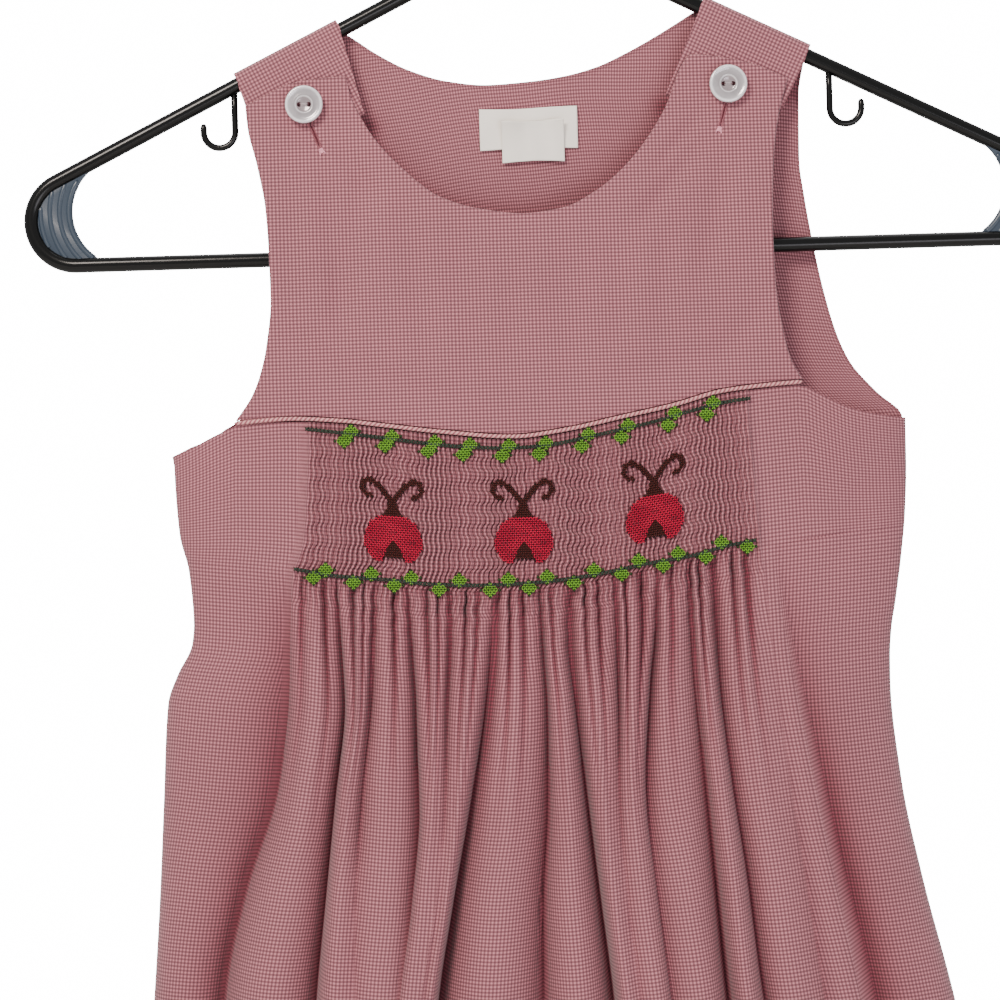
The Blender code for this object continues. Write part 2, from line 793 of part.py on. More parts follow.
def back_tops():
    """Where each column of the back ends: (x, drop, its strap or None, share across the strap)."""
    left, right = STRAPS
    tops = []
    for n in range(STRAP_STEPS):
        x = mix(left[1], left[2], n / STRAP_STEPS)
        tops.append((x, arm_drop(x), left, n / STRAP_STEPS))
    for x, drop in BACK_NECK:
        strap = left if x == BACK_NECK[0][0] else right if x == BACK_NECK[-1][0] else None
        tops.append((x, drop, strap, 1.0))
    for n in range(STRAP_STEPS - 1, -1, -1):
        x = mix(right[1], right[2], n / STRAP_STEPS)
        tops.append((x, arm_drop(x), right, n / STRAP_STEPS))
    return tops


def back_column(x, top, strap, across):
    """A column of the back as (the strap's points over the arm, the points below, from the top)."""
    armpit = BACK_ARMHOLE[-1][0]
    share = column_share(back_sides, x, top)
    wrap = []
    if strap:
        _, _, _, outer_x, outer_drop, inner_x, inner_drop = strap
        wrap = strap_wrap(x, mix(outer_x, inner_x, across), mix(outer_drop, inner_drop, across))
    body = []
    for t in reversed(BACK_HIGH_ROWS):
        drop = mix(armpit, top, t)
        here = column_x(back_sides, share, drop)
        body.append(point(here, back_depth(here, drop), drop))
    for t in reversed(BACK_LOW_ROWS):
        drop = armpit
        for _ in range(4):
            here = column_x(back_sides, share, drop)
            drop = mix(armpit, hem_drop(here), t)
        body.append(point(here, max(back_depth(here, drop), SEAM_TURN), drop))
    return wrap, body


def back(into, finish):
    """The back in one piece, with the straps that cross the arms and button in front."""
    shape = bmesh.new()
    columns = []
    for top in back_tops():
        columns.append([[shape.verts.new(where) for where in part] for part in back_column(*top)])
    for (wrap, body), (next_wrap, next_body) in zip(columns, columns[1:]):
        fill(shape, body, next_body)
        if wrap and next_wrap:
            fill(shape, wrap + body[:1], next_wrap + next_body[:1])
    seams = []
    for _, body in (columns[0], columns[-1]):
        low = body[len(BACK_HIGH_ROWS):]
        seams.append((low, [shape.verts.new((v.co.x, GAP / 2 * MM, v.co.z)) for v in low]))
    (left_low, left_seam), (right_low, right_seam) = seams
    fill(shape, left_seam, left_low)
    fill(shape, right_low, right_seam)
    return walled("back", shape, into, finish["pink_gingham"], WALL)


def fill(shape, left, right):
    """Quads between two columns that run from the top down, facing the back."""
    for a, b, c, d in zip(left, left[1:], right[1:], right):
        shape.faces.new((a, d, c, b))


def button(name, x, drop, into, cutters, finish):
    """A two-hole button: a turned profile with a raised rim and a dished middle."""
    profile = (
        (0.0, 1.5),
        (3.3, 1.5),
        (3.9, 2.3),
        (5.6, 2.1),
        (6.9, 2.6),
        (7.5, 2.3),
        (BUTTON_RADIUS, 1.5),
        (7.2, 0.7),
        (4.6, 0.0),
        (0.0, 0.0),
    )
    mesh = bpy.data.meshes.new(name)
    corners = [(across * MM, 0, up * MM) for across, up in profile]
    mesh.from_pydata(corners, [(n, n + 1) for n in range(len(corners) - 1)], [])
    made = add(name, mesh, into, finish["pearl_plastic"])
    turn = made.modifiers.new("turn", "SCREW")
    turn.steps = turn.render_steps = 20
    turn.use_merge_vertices = True
    turn.merge_threshold = 1e-5
    for side in (-1, 1):
        radius = BUTTON_HOLE_RADIUS * MM
        bpy.ops.mesh.primitive_cylinder_add(vertices=8, radius=radius, depth=8 * MM)
        tool = bpy.context.object
        tool.name = f"{name}_hole_{'left' if side < 0 else 'right'}"
        for owner in tool.users_collection:
            owner.objects.unlink(tool)
        boolean(made, tool, "DIFFERENCE", cutters)
        tool.parent = made
        tool.location = (side * BUTTON_HOLE_SPACING / 2 * MM, 0, 1.5 * MM)
    steps = (-BUTTON_SEAT, 0, BUTTON_SEAT)
    front = max(front_depth(x + a, drop + b) for a in steps for b in steps) + WALL
    made.location = point(x, -front - GAP, drop)
    made.rotation_euler = (math.radians(90), 0, 0)
    smooth(made)
    return made


def inside_sheet(name, left, right, top, bottom, lift, into, finish):
    """A small flat piece on the inside of the back. lift is its distance at a share down it."""
    rows = []
    for n in range(5):
        t = n / 4
        drop = mix(top, bottom, t)
        row = []
        for m in range(7):
            x = mix(left, right, m / 6)
            row.append((m, point(x, back_depth(x, drop) - lift(t), drop)))
        rows.append(row)
    return sheet(name, rows, into, finish["white_ribbon"], LABEL_WALL)


def label_lift(_):
    return GAP


def tab_lift(share):
    """The tab lies over the label, and its top edge curls away."""
    return LABEL_WALL + 2 * GAP + TAB_CURL * (1 - share) ** 3


def main():
    for old in list(bpy.data.objects):
        bpy.data.objects.remove(old)
    finish = finishes()
    dress = collection("smocked_dress")
    cutters = collection("cutters", shown=False)
    hanger(dress, cutters, finish)
    front_yoke(dress, finish)
    yoke_piping(dress, finish)
    front_skirt(dress, finish)
    back(dress, finish)
    button("button_left", -94.8, 146.1, dress, cutters, finish)
    button("button_right", 78.8, 142.7, dress, cutters, finish)
    inside_sheet("neck_label", -23.4, 17.2, 148.0, 164.8, label_lift, dress, finish)
    inside_sheet("size_tab", -14.3, 11.5, 153.5, 170.2, tab_lift, dress, finish)


main()
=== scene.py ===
# %% [markdown]
# # A child's smocked dress on a hanger
# The dress is cotton gingham: a plain yoke that buttons over the shoulders, a smocked panel, and a
# skirt that is gathered by that smocking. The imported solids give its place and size, and this
# lesson dresses them: each cut piece becomes a thin sheet of cloth on the form of its solid, laid
# out row by row in millimetres, with its stitches, buttons and creases.

import math

import bmesh
import bpy
import numpy as np
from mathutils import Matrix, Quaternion, Vector


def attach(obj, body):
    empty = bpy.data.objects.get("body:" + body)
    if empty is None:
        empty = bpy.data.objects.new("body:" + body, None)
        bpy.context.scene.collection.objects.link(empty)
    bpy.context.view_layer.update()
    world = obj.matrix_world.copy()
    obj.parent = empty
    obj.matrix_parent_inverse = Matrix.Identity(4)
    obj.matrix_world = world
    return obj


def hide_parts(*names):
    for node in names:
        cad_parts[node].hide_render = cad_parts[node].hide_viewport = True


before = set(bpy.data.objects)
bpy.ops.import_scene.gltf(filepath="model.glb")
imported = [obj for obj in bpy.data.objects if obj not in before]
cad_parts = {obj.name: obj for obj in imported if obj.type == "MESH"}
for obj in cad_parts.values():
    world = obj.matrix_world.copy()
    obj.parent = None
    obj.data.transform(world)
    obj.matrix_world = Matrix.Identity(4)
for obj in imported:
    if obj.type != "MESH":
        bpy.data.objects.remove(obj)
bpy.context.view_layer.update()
print("nodes:", ", ".join(sorted(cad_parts)))

# %% [markdown]
# ## Camera, floor and light
# The photograph looks straight at the dress from about a metre, turned a little, and cuts off the
# hook above and the hem below. The dress hangs in the air, so a small pale floor lies below its
# hem, out of this view. The room is plain white, far brighter to the eye than the light it gives.
# One soft light from the upper left and two weaker ones give the folds their shadows.

# %% Units and colours
MM = 0.001


def linear(code, alpha=1.0):
    """A colour written as sRGB hex, as the linear values that shaders use."""
    parts = [int(code[n : n + 2], 16) / 255 for n in (1, 3, 5)]
    return tuple(c / 12.92 if c <= 0.04045 else ((c + 0.055) / 1.055) ** 2.4 for c in parts) + (alpha,)


def node(tree, kind, settings=None, links=None):
    """Adds a node. Settings are properties by name or inputs by name or number."""
    made = tree.nodes.new(kind)
    for key, value in (settings or {}).items():
        if isinstance(key, str) and hasattr(made, key):
            setattr(made, key, value)
        else:
            made.inputs[key].default_value = value
    for key, output in (links or {}).items():
        tree.links.new(output, made.inputs[key])
    return made


def new_material(name, **settings):
    """A material with its Principled shader, whose sockets take the settings."""
    made = bpy.data.materials.new(name)
    made.use_nodes = True
    shader = made.node_tree.nodes["Principled BSDF"]
    for key, value in settings.items():
        shader.inputs[key.replace("_", " ").title().replace("Ior", "IOR")].default_value = value
    return made, made.node_tree, shader


# %% Camera
CAMERA_DISTANCE = 1.0
CAMERA_X = -19.5
CAMERA_Z = -310.0
VIEW_WIDTH = 412.4
CAMERA_ROLL = 1.7

bpy.ops.object.camera_add(location=(CAMERA_X * MM, -CAMERA_DISTANCE, CAMERA_Z * MM))
camera = bpy.context.object
camera.rotation_mode = "QUATERNION"
straight = Vector((0, 1, 0)).to_track_quat("-Z", "Y")
camera.rotation_quaternion = straight @ Quaternion((0, 0, 1), math.radians(-CAMERA_ROLL))
camera.data.lens = camera.data.sensor_width * CAMERA_DISTANCE / (VIEW_WIDTH * MM)
bpy.context.scene.camera = camera
print("camera lens, mm:", round(camera.data.lens, 1))

# %% Floor
FLOOR_DROP = 780.0

bpy.ops.mesh.primitive_plane_add(size=2.4, location=(0, 0, -FLOOR_DROP * MM))
floor = bpy.context.object
floor.name = "floor"
bpy.ops.object.transform_apply(location=True, rotation=True, scale=True)
paper, _, _ = new_material(
    "matt paper floor", base_color=linear("#f4f3f1"), roughness=0.9
)
floor.data.materials.append(paper)

# %% Light
LIGHTS = (
    ("key", (-0.55, -1.15, 0.55), 0.45, 27.0, "#fff4ea"),
    ("fill", (0.55, -1.25, -0.75), 0.8, 13.0, "#fbf7ff"),
    ("top", (0.1, 0.3, 0.9), 0.9, 6.0, "#ffffff"),
)
AIM = Vector((0, 0, -0.33))

for name, place, size, power, colour in LIGHTS:
    bpy.ops.object.light_add(type="AREA", location=place)
    lamp = bpy.context.object
    lamp.name = name
    lamp.rotation_mode = "QUATERNION"
    lamp.rotation_quaternion = (AIM - Vector(place)).to_track_quat("-Z", "Y")
    lamp.data.size = size
    lamp.data.energy = power
    lamp.data.color = linear(colour)[:3]

world = bpy.data.worlds.new("white room")
world.use_nodes = True
sky = world.node_tree
seen = node(sky, "ShaderNodeBackground", {"Color": linear("#ffffff"), "Strength": 16.0})
given = sky.nodes["Background"]
given.inputs["Color"].default_value = linear("#ffffff")
given.inputs["Strength"].default_value = 0.8
ray = node(sky, "ShaderNodeLightPath")
room = node(
    sky,
    "ShaderNodeMixShader",
    links={0: ray.outputs["Is Camera Ray"], 1: given.outputs[0], 2: seen.outputs[0]},
)
sky.links.new(room.outputs[0], sky.nodes["World Output"].inputs["Surface"])
bpy.context.scene.world = world

# %% [markdown]
# ## The cut of the dress
# A dressmaker works from a few measures: how wide the dress is at each height, how deep the neck
# and armholes are cut, and where the seams run. The tables below hold those measures in
# millimetres, and are the ones that the solids were built from. A height is given as a drop below
# the crown of the hanger's hook, so a larger drop is lower down.

# %% Reading a table
def read(table, keys, column=1):
    """The value of a column at the keys, on a smooth curve that never overshoots its rows."""
    at = np.array([row[0] for row in table], float)
    value = np.array([row[column] for row in table], float)
    keys = np.clip(keys, at[0], at[-1])
    span = np.diff(at)
    rise = np.diff(value) / span
    slope = np.concatenate([rise[:1], np.zeros(len(at) - 2), rise[-1:]])
    product = rise[:-1] * rise[1:]
    total = np.where(product > 0, rise[:-1] + rise[1:], 1.0)
    slope[1:-1] = np.where(product > 0, 2 * product / total, 0.0)
    i = np.clip(np.searchsorted(at, keys, side="right") - 1, 0, len(span) - 1)
    t = (keys - at[i]) / span[i]
    start = value[i] * (1 + 2 * t) + slope[i] * span[i] * t
    end = value[i + 1] * (3 - 2 * t) - slope[i + 1] * span[i] * (1 - t)
    return start * (1 - t) ** 2 + end * t**2


def mix(a, b, t):
    return a + (b - a) * t


def smooth_step(low, high, value):
    t = np.clip((value - low) / (high - low), 0, 1)
    return t * t * (3 - 2 * t)


# %% Measures of the body of the dress
WALL = 1.1
CREST = 2.3
SECTION_POWER = 2.4
HEM_DROP = 700.0
HEM_RISE = 6.0
PLEATS = 96
PLEAT_CLOTH = 5.8
LEFT_FLAT = 54.0
RIGHT_FLAT = 61.0
CLOTH_WIDTH = LEFT_FLAT + PLEATS * PLEAT_CLOTH + RIGHT_FLAT

# The side seams. Columns: drop, left x, right x
SIDE_SEAM = (
    (280, -153.6, 148.6),
    (300, -153.2, 148.4),
    (320, -152.0, 147.3),
    (335, -148.6, 145.6),
    (357, -147.2, 142.2),
    (366, -148.2, 140.5),
    (378, -154.4, 139.4),
    (390, -158.8, 139.2),
    (430, -161.7, 142.6),
    (470, -164.5, 150.0),
    (515, -168.4, 160.6),
    (600, -176.0, 178.0),
    (700, -186.0, 197.0),
)

# How far the cloth stands from the hanger's plane. Columns: drop, front at the middle, back at
# the middle, front at the edges, back at the edges
DEPTHS = (
    (105, 5.2, 3.8, 4.8, 3.8),
    (135, 5.3, 4.6, 4.8, 3.8),
    (150, 6.0, 5.2, 4.8, 3.7),
    (172, 8.0, 6.5, 4.8, 3.6),
    (208, 10.5, 8.5, 4.3, 3.6),
    (250, 12.5, 10.0, 2.2, 1.9),
    (284, 14.0, 11.0, 0.3, 0.3),
    (300, 15.0, 11.5, 0.0, 0.0),
    (340, 18.0, 13.5, 0.0, 0.0),
    (365, 22.0, 15.5, 0.0, 0.0),
    (390, 26.0, 18.0, 0.0, 0.0),
    (430, 31.5, 22.0, 0.0, 0.0),
    (520, 40.0, 29.0, 0.0, 0.0),
    (600, 46.0, 34.0, 0.0, 0.0),
    (700, 51.0, 39.0, 0.0, 0.0),
)


def section(x, drop):
    """0 at the side seams and 1 in the middle: the round of the body across its width."""
    left, right = read(SIDE_SEAM, drop, 1), read(SIDE_SEAM, drop, 2)
    share = np.minimum(1.0, abs(2 * x - left - right) / (right - left))
    return np.sqrt(1 - share**SECTION_POWER)


def front_depth(x, drop):
    """The outside of the front's cloth."""
    return mix(read(DEPTHS, drop, 3), read(DEPTHS, drop, 1) + WALL, section(x, drop))


# The soft flutes of the plain back. Columns: drop, depth
BACK_FLUTE_WIDTH = 78.0
BACK_FLUTES = ((330, 0.0), (430, 3.0), (560, 8.0), (700, 12.0))


def back_depth(x, drop, wall=WALL):
    """The outside of the back's cloth, or its inside where the wall is 0."""
    round_of_body = section(x, drop)
    flute = read(BACK_FLUTES, drop) * (0.5 - 0.5 * np.cos(2 * np.pi * x / BACK_FLUTE_WIDTH))
    depth = mix(read(DEPTHS, drop, 4), read(DEPTHS, drop, 2) + wall, round_of_body)
    return depth - flute * round_of_body


print("cloth across the front, mm:", CLOTH_WIDTH)

# %% [markdown]
# ## Laying out a sheet of cloth
# A sheet is a list of rows from its top edge to its bottom edge. Each point has a place along the
# cloth, and two neighbouring rows are laced together by those places, so a finely pleated row can
# meet a plainer one. The map of each point on the uncut cloth goes into the UV layer, in metres,
# so the checks follow the weave into every fold.

# %% Lacing rows
def lace(upper, lower, first_up, first_low):
    """Faces between two rows of places: quads where they match, triangles where they don't."""
    faces = []
    i = j = 0
    while i < len(upper) - 1 or j < len(lower) - 1:
        up = upper[i + 1] if i < len(upper) - 1 else math.inf
        low = lower[j + 1] if j < len(lower) - 1 else math.inf
        a, b = first_up + i, first_low + j
        if abs(up - low) < 1e-6:
            faces.append((a, b, b + 1, a + 1))
            i += 1
            j += 1
        elif up < low:
            faces.append((a, b, a + 1))
            i += 1
        else:
            faces.append((a, b, b + 1))
            j += 1
    return faces


def cloth_mesh(name, rows, facing_back=False):
    """A mesh from rows of (places, points, map). Points are (x, y, drop) and map is (u, v), in mm."""
    faces = []
    first = 0
    for upper, lower in zip(rows, rows[1:]):
        faces += lace(upper[0], lower[0], first, first + len(upper[0]))
        first += len(upper[0])
    if facing_back:
        faces = [face[::-1] for face in faces]
    points = np.concatenate([row[1] for row in rows]) * (MM, MM, -MM)
    flat = np.concatenate([row[2] for row in rows]) * MM
    mesh = bpy.data.meshes.new(name)
    mesh.from_pydata(points.tolist(), [], faces)
    layer = mesh.uv_layers.new(name="cloth")
    corners = np.empty(len(mesh.loops), np.int32)
    mesh.loops.foreach_get("vertex_index", corners)
    layer.data.foreach_set("uv", flat[corners].ravel())
    mesh.shade_smooth()
    made = bpy.data.objects.new(name, mesh)
    bpy.context.scene.collection.objects.link(made)
    return made


def triangles(piece):
    return sum(len(face.vertices) - 2 for face in piece.data.polygons)


def pick(piece):
    """Selects one piece alone and makes it the active one."""
    bpy.ops.object.select_all(action="DESELECT")
    piece.select_set(True)
    bpy.context.view_layer.objects.active = piece


def apply_modifiers(piece):
    pick(piece)
    for modifier in list(piece.modifiers):
        bpy.ops.object.modifier_apply(modifier=modifier.name)


def settle(piece, material, slot=None, *replaced):
    """Gives a finished piece its material, its body and the nodes that it stands for. The slot is not
    used.
    """
    piece.data.materials.clear()
    piece.data.materials.append(material)
    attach(piece, "root")
    if replaced:
        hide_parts(*replaced)
    print(piece.name, "triangles:", triangles(piece))


# %% [markdown]
# ## Gingham
# Gingham is a plain weave with bands of dyed and undyed yarn both ways. The check here is 1.5
# mm. The shader draws both bands from the map of the uncut cloth and adds the low relief of the
# threads. It also paints shade: a value stored on each point deepens the tone in folds, where red
# light bounces about, and in the shadows inside the neck.

# %% Gingham shader
CHECK = 1.5
THREAD = 0.25
WEAVE_RELIEF = 0.05
CREASE_RELIEF = 0.5


def band(tree, coordinate, period, softness):
    """1 on the dyed bands of a coordinate in metres, and 0 between them."""
    per_metre = 2 * math.pi / (period * MM)
    turns = node(tree, "ShaderNodeMath", {"operation": "MULTIPLY", 1: per_metre}, {0: coordinate})
    wave = node(tree, "ShaderNodeMath", {"operation": "SINE"}, {0: turns.outputs[0]})
    limits = {"interpolation_type": "SMOOTHSTEP", "From Min": -softness, "From Max": softness}
    return node(tree, "ShaderNodeMapRange", limits, {"Value": wave.outputs[0]}).outputs[0]


def gingham(name, light, middle, deep, fold_shade):
    """Yarn-dyed cotton, plain woven and pressed: matt, with a faint sheen from its fibre ends."""
    made, tree, shader = new_material(name, roughness=0.82, sheen_weight=0.15, sheen_roughness=0.5)
    cloth = node(tree, "ShaderNodeUVMap", {"uv_map": "cloth"})
    parts = node(tree, "ShaderNodeSeparateXYZ", links={0: cloth.outputs[0]})
    warp = band(tree, parts.outputs[0], CHECK, 0.7)
    weft = band(tree, parts.outputs[1], CHECK, 0.7)
    both = node(tree, "ShaderNodeMath", {"operation": "ADD"}, {0: warp, 1: weft})
    half = node(tree, "ShaderNodeMath", {"operation": "MULTIPLY", 1: 0.5}, {0: both.outputs[0]})
    check = node(tree, "ShaderNodeValToRGB", links={0: half.outputs[0]})
    check.color_ramp.elements[0].color = linear(light)
    check.color_ramp.elements[1].color = linear(deep)
    check.color_ramp.elements.new(0.5).color = linear(middle)
    place = node(tree, "ShaderNodeTexCoord")
    where = {"Vector": place.outputs["Object"]}
    cloud = node(tree, "ShaderNodeTexNoise", {"Scale": 22.0, "Detail": 3.0}, where)
    wear = {"To Min": 0.9, "To Max": 1.08}
    worn = node(tree, "ShaderNodeMapRange", wear, {"Value": cloud.outputs[0]})
    dyes = {"Color": check.outputs[0], "Value": worn.outputs[0]}
    toned = node(tree, "ShaderNodeHueSaturation", links=dyes)
    # Painted shade: the value stored on each point darkens the colour towards the fold shade colour.
    fold = node(tree, "ShaderNodeAttribute", {"attribute_name": "fold"})
    shaded = node(tree, "ShaderNodeMix", {"data_type": "RGBA", "blend_type": "MULTIPLY"})
    tree.links.new(fold.outputs["Fac"], shaded.inputs[0])
    tree.links.new(toned.outputs[0], shaded.inputs[6])
    shaded.inputs[7].default_value = linear(fold_shade)
    tree.links.new(shaded.outputs[2], shader.inputs["Base Color"])
    threads = [band(tree, parts.outputs[n], THREAD * 2, 1.0) for n in (0, 1)]
    relief = node(tree, "ShaderNodeMath", {"operation": "ADD"}, {0: threads[0], 1: threads[1]})
    fine = {"Strength": 0.4, "Distance": WEAVE_RELIEF * MM}
    weave = node(tree, "ShaderNodeBump", fine, {"Height": relief.outputs[0]})
    rumple = node(tree, "ShaderNodeTexNoise", {"Scale": 75.0, "Detail": 2.0}, where)
    soft = node(tree, "ShaderNodeBump", {"Strength": 0.5, "Distance": CREASE_RELIEF * MM})
    tree.links.new(rumple.outputs[0], soft.inputs["Height"])
    tree.links.new(weave.outputs[0], soft.inputs["Normal"])
    tree.links.new(soft.outputs[0], shader.inputs["Normal"])
    return made


# The last colour is the painted shade that folds and the shadows inside the neck are darkened towards.
gingham_cotton = gingham("yarn-dyed cotton gingham", "#b3717a", "#7d484f", "#5a2d38", "#b36f89")
print("checks across the yoke:", round(230 / CHECK))


def paint_shade(piece, depths):
    """Stores the painted shade of each point, from 0 to 1, which darkens its colour in folds and
    shadows.
    """
    layer = piece.data.attributes.new("fold", "FLOAT", "POINT")
    layer.data.foreach_set("value", np.asarray(depths, np.float32))


# %% [markdown]
# ## Soft creases
# Washed cotton never lies dead flat. Each crease is a straight soft trough of its own length,
# width and depth, which fades out at both ends, and the tables give one row to each.

# %% Creases
def crease_dip(x, drop, creases):
    """The depth of all creases at points. Columns: x and drop of both ends, width, depth."""
    dip = np.zeros(np.shape(x))
    for x0, drop0, x1, drop1, width, depth in creases:
        run = np.array([x1 - x0, drop1 - drop0])
        length = np.hypot(*run)
        along = ((x - x0) * run[0] + (drop - drop0) * run[1]) / length
        across = ((x - x0) * run[1] - (drop - drop0) * run[0]) / length
        fade = smooth_step(0, 0.35 * length, along) * smooth_step(0, 0.35 * length, length - along)
        dip += depth * fade * np.exp(-((across / width) ** 2))
    return dip


def rolled_edge(distance, radius=0.8):
    """How far a turned edge rounds back at a distance from it."""
    inside = np.clip(1 - distance / radius, 0, 1)
    return radius * (1 - np.sqrt(1 - inside**2))


# %% [markdown]
# ## The yoke
# The yoke is one flat piece from the seam up to the two straps, turned in along the neck and the
# armholes. Its columns run from the top edge down to the seam and keep their share of the width
# between the armholes, so they follow both curves.

# %% Yoke measures
PIPING_RADIUS = 0.95
SEAM_GAP = 0.3

# The front armholes. Columns: drop, left x, right x
FRONT_ARMHOLE = (
    (140, -119.6, 103.9),
    (155, -118.4, 99.6),
    (170, -115.0, 97.1),
    (188, -112.0, 95.8),
    (205, -111.1, 95.4),
    (225, -110.8, 95.8),
    (245, -113.2, 98.4),
    (257, -116.3, 101.4),
    (265, -119.8, 106.0),
    (275, -127.0, 112.0),
)

# The yoke's top edge: left strap, neck and right strap. Columns: x, drop
FRONT_TOP = (
    (-119.4, 145.5),
    (-96.2, 135.8),
    (-77.7, 134.4),
    (-75.9, 143.0),
    (-71.3, 152.5),
    (-67.0, 160.0),
    (-56.3, 172.4),
    (-40.3, 185.4),
    (-24.1, 190.8),
    (-6.0, 193.2),
    (10.2, 191.2),
    (23.6, 184.6),
    (34.0, 176.4),
    (43.3, 166.0),
    (53.2, 150.6),
    (60.3, 133.6),
    (64.1, 129.6),
    (77.1, 131.2),
    (90.1, 134.4),
    (103.8, 140.5),
)

# The seam between yoke and skirt. Columns: x, drop
YOKE_SEAM = (
    (-127.5, 275.6),
    (-105.0, 274.4),
    (-85.0, 275.7),
    (-65.0, 278.4),
    (-44.0, 281.4),
    (-12.0, 284.4),
    (8.0, 282.2),
    (30.0, 277.9),
    (52.0, 273.5),
    (73.0, 268.2),
    (94.0, 266.1),
    (105.5, 265.4),
)

# The yoke's creases. Columns: x and drop of both ends, width, depth
YOKE_CREASES = (
    (-58, 172, -44, 262, 6.0, 1.5),
    (-36, 190, -26, 272, 8.0, 1.4),
    (-12, 196, -14, 278, 7.0, 1.1),
    (8, 198, 14, 274, 9.0, 1.2),
    (34, 186, 30, 266, 7.0, 1.3),
    (-70, 162, -84, 244, 6.0, 1.6),
    (-88, 164, -80, 262, 5.0, 1.4),
    (-100, 168, -102, 240, 5.0, 1.0),
    (76, 156, 34, 206, 4.5, 1.7),
    (82, 158, 62, 236, 6.0, 1.6),
    (72, 150, 44, 180, 3.0, 1.3),
    (-86, 158, -62, 190, 3.5, 1.3),
    (-106, 150, -86, 166, 4.0, 0.9),
    (-110, 232, -76, 266, 6.0, 1.4),
    (96, 226, 66, 262, 6.0, 1.4),
    (-88, 252, -30, 270, 5.0, 1.0),
    (20, 264, 80, 250, 5.0, 1.0),
    (52, 190, 48, 262, 6.0, 1.2),
)


# %% Yoke cloth
COLUMN_PITCH = 1.9
EDGE_COLUMNS = np.array([0.1, 0.4, 0.9])


def column_shares(count, edge):
    """Even shares from 0 to 1 with three closer ones at each end, for the turned edge."""
    even = np.linspace(edge, 1 - edge, count)
    close = np.array([0.0, 0.12, 0.45]) * edge
    return np.concatenate([close, even, 1 - close[::-1]])


def settle_column(share, sides, edge_of):
    """The drop at which a column with this share of the width crosses an edge."""
    drop = edge_of(0.0)
    for _ in range(14):
        left, right = sides(drop)
        drop = edge_of(mix(left, right, share))
    return drop


def yoke_sides(drop):
    return read(FRONT_ARMHOLE, drop, 1), read(FRONT_ARMHOLE, drop, 2)


def yoke_foot(x):
    return read(YOKE_SEAM, x) - PIPING_RADIUS - SEAM_GAP


top_x = np.array([row[0] for row in FRONT_TOP], float)
top_parts = [
    np.linspace(a, b, max(2, round((b - a) / COLUMN_PITCH)), endpoint=False)
    for a, b in zip(top_x, top_x[1:])
]
yoke_x = np.concatenate([*top_parts, top_x[-1:]])
yoke_x = np.concatenate([yoke_x, yoke_x[0] + EDGE_COLUMNS, yoke_x[-1] - EDGE_COLUMNS])
yoke_x = np.sort(yoke_x)
columns = []
last_share = -1.0
for x in yoke_x:
    top = read(FRONT_TOP, x)
    left, right = yoke_sides(top)
    share = np.clip((x - left) / (right - left), 0, 1)
    if share < last_share + 0.0004:
        continue
    last_share = share
    low = settle_column(share, yoke_sides, yoke_foot)
    drops = mix(top, low, column_shares(74, 0.007))
    left, right = yoke_sides(drops)
    columns.append(np.stack([mix(left, right, share), drops], 1))
columns = np.array(columns)
across, down = columns[:, :, 0], columns[:, :, 1]
from_sides = np.minimum(across - across[:1], across[-1:] - across)
from_top = down - down[:, :1]
turned = np.maximum(rolled_edge(from_sides), rolled_edge(from_top))
yoke_y = -(front_depth(across, down) - crease_dip(across, down, YOKE_CREASES) - turned)
places = np.arange(len(columns), dtype=float)
rows = []
for n in range(down.shape[1]):
    points = np.stack([across[:, n], yoke_y[:, n], down[:, n]], 1)
    rows.append((places, points, points[:, [0, 2]]))
yoke = cloth_mesh("yoke_cloth", rows)
paint_shade(yoke, np.zeros(len(yoke.data.vertices)))
thicken = yoke.modifiers.new("cloth", "SOLIDIFY")
thicken.thickness = 0.9 * MM
thicken.offset = -1.0
apply_modifiers(yoke)
yoke.data.shade_smooth()
settle(yoke, gingham_cotton, "pink_gingham", "front_yoke")

# %% [markdown]
# ## Smocked panel and skirt
# Smocking draws up three times its width of cloth into even pleats, and rows of stitches hold
# them at top and foot. Below the last row the pleats open, merge by threes into gathers, and these
# merge again into the deep folds of the skirt. All of it is one piece of cloth, with a plain flat
# at each side, so it is one sheet here: fine rows of eight points a pleat in the panel, then four,
# then two.

# %% Skirt measures
SKIRT_ARMHOLE_LEFT = ((-153.6, 288.4), (-146.0, 285.4), (-135.2, 280.2), (-127.5, 276.9))
SKIRT_ARMHOLE_RIGHT = ((105.5, 266.7), (114.7, 271.8), (126.4, 277.1), (141.4, 280.2), (148.6, 281.0))

# The sides of the smocked panel. Columns: drop, left x, right x
SMOCK_SIDES = (
    (270, -96.8, 82.4),
    (290, -97.2, 83.0),
    (305, -98.3, 84.0),
    (325, -100.2, 85.2),
    (337, -104.6, 86.0),
)

# The foot of the smocked panel, carried on to the side seams. Columns: x, drop
SMOCK_FOOT = (
    (-155.0, 331.0),
    (-105.4, 336.3),
    (-88.7, 339.3),
    (-67.5, 341.6),
    (-45.9, 344.0),
    (-24.6, 345.0),
    (-4.1, 344.4),
    (17.2, 342.0),
    (39.0, 338.4),
    (60.4, 334.6),
    (85.1, 330.0),
    (150.0, 325.0),
)
SMOCK_TOP_DROP = 280.0
SMOCK_FOOT_DROP = 337.0
SMOCK_CLOTH = 60.0

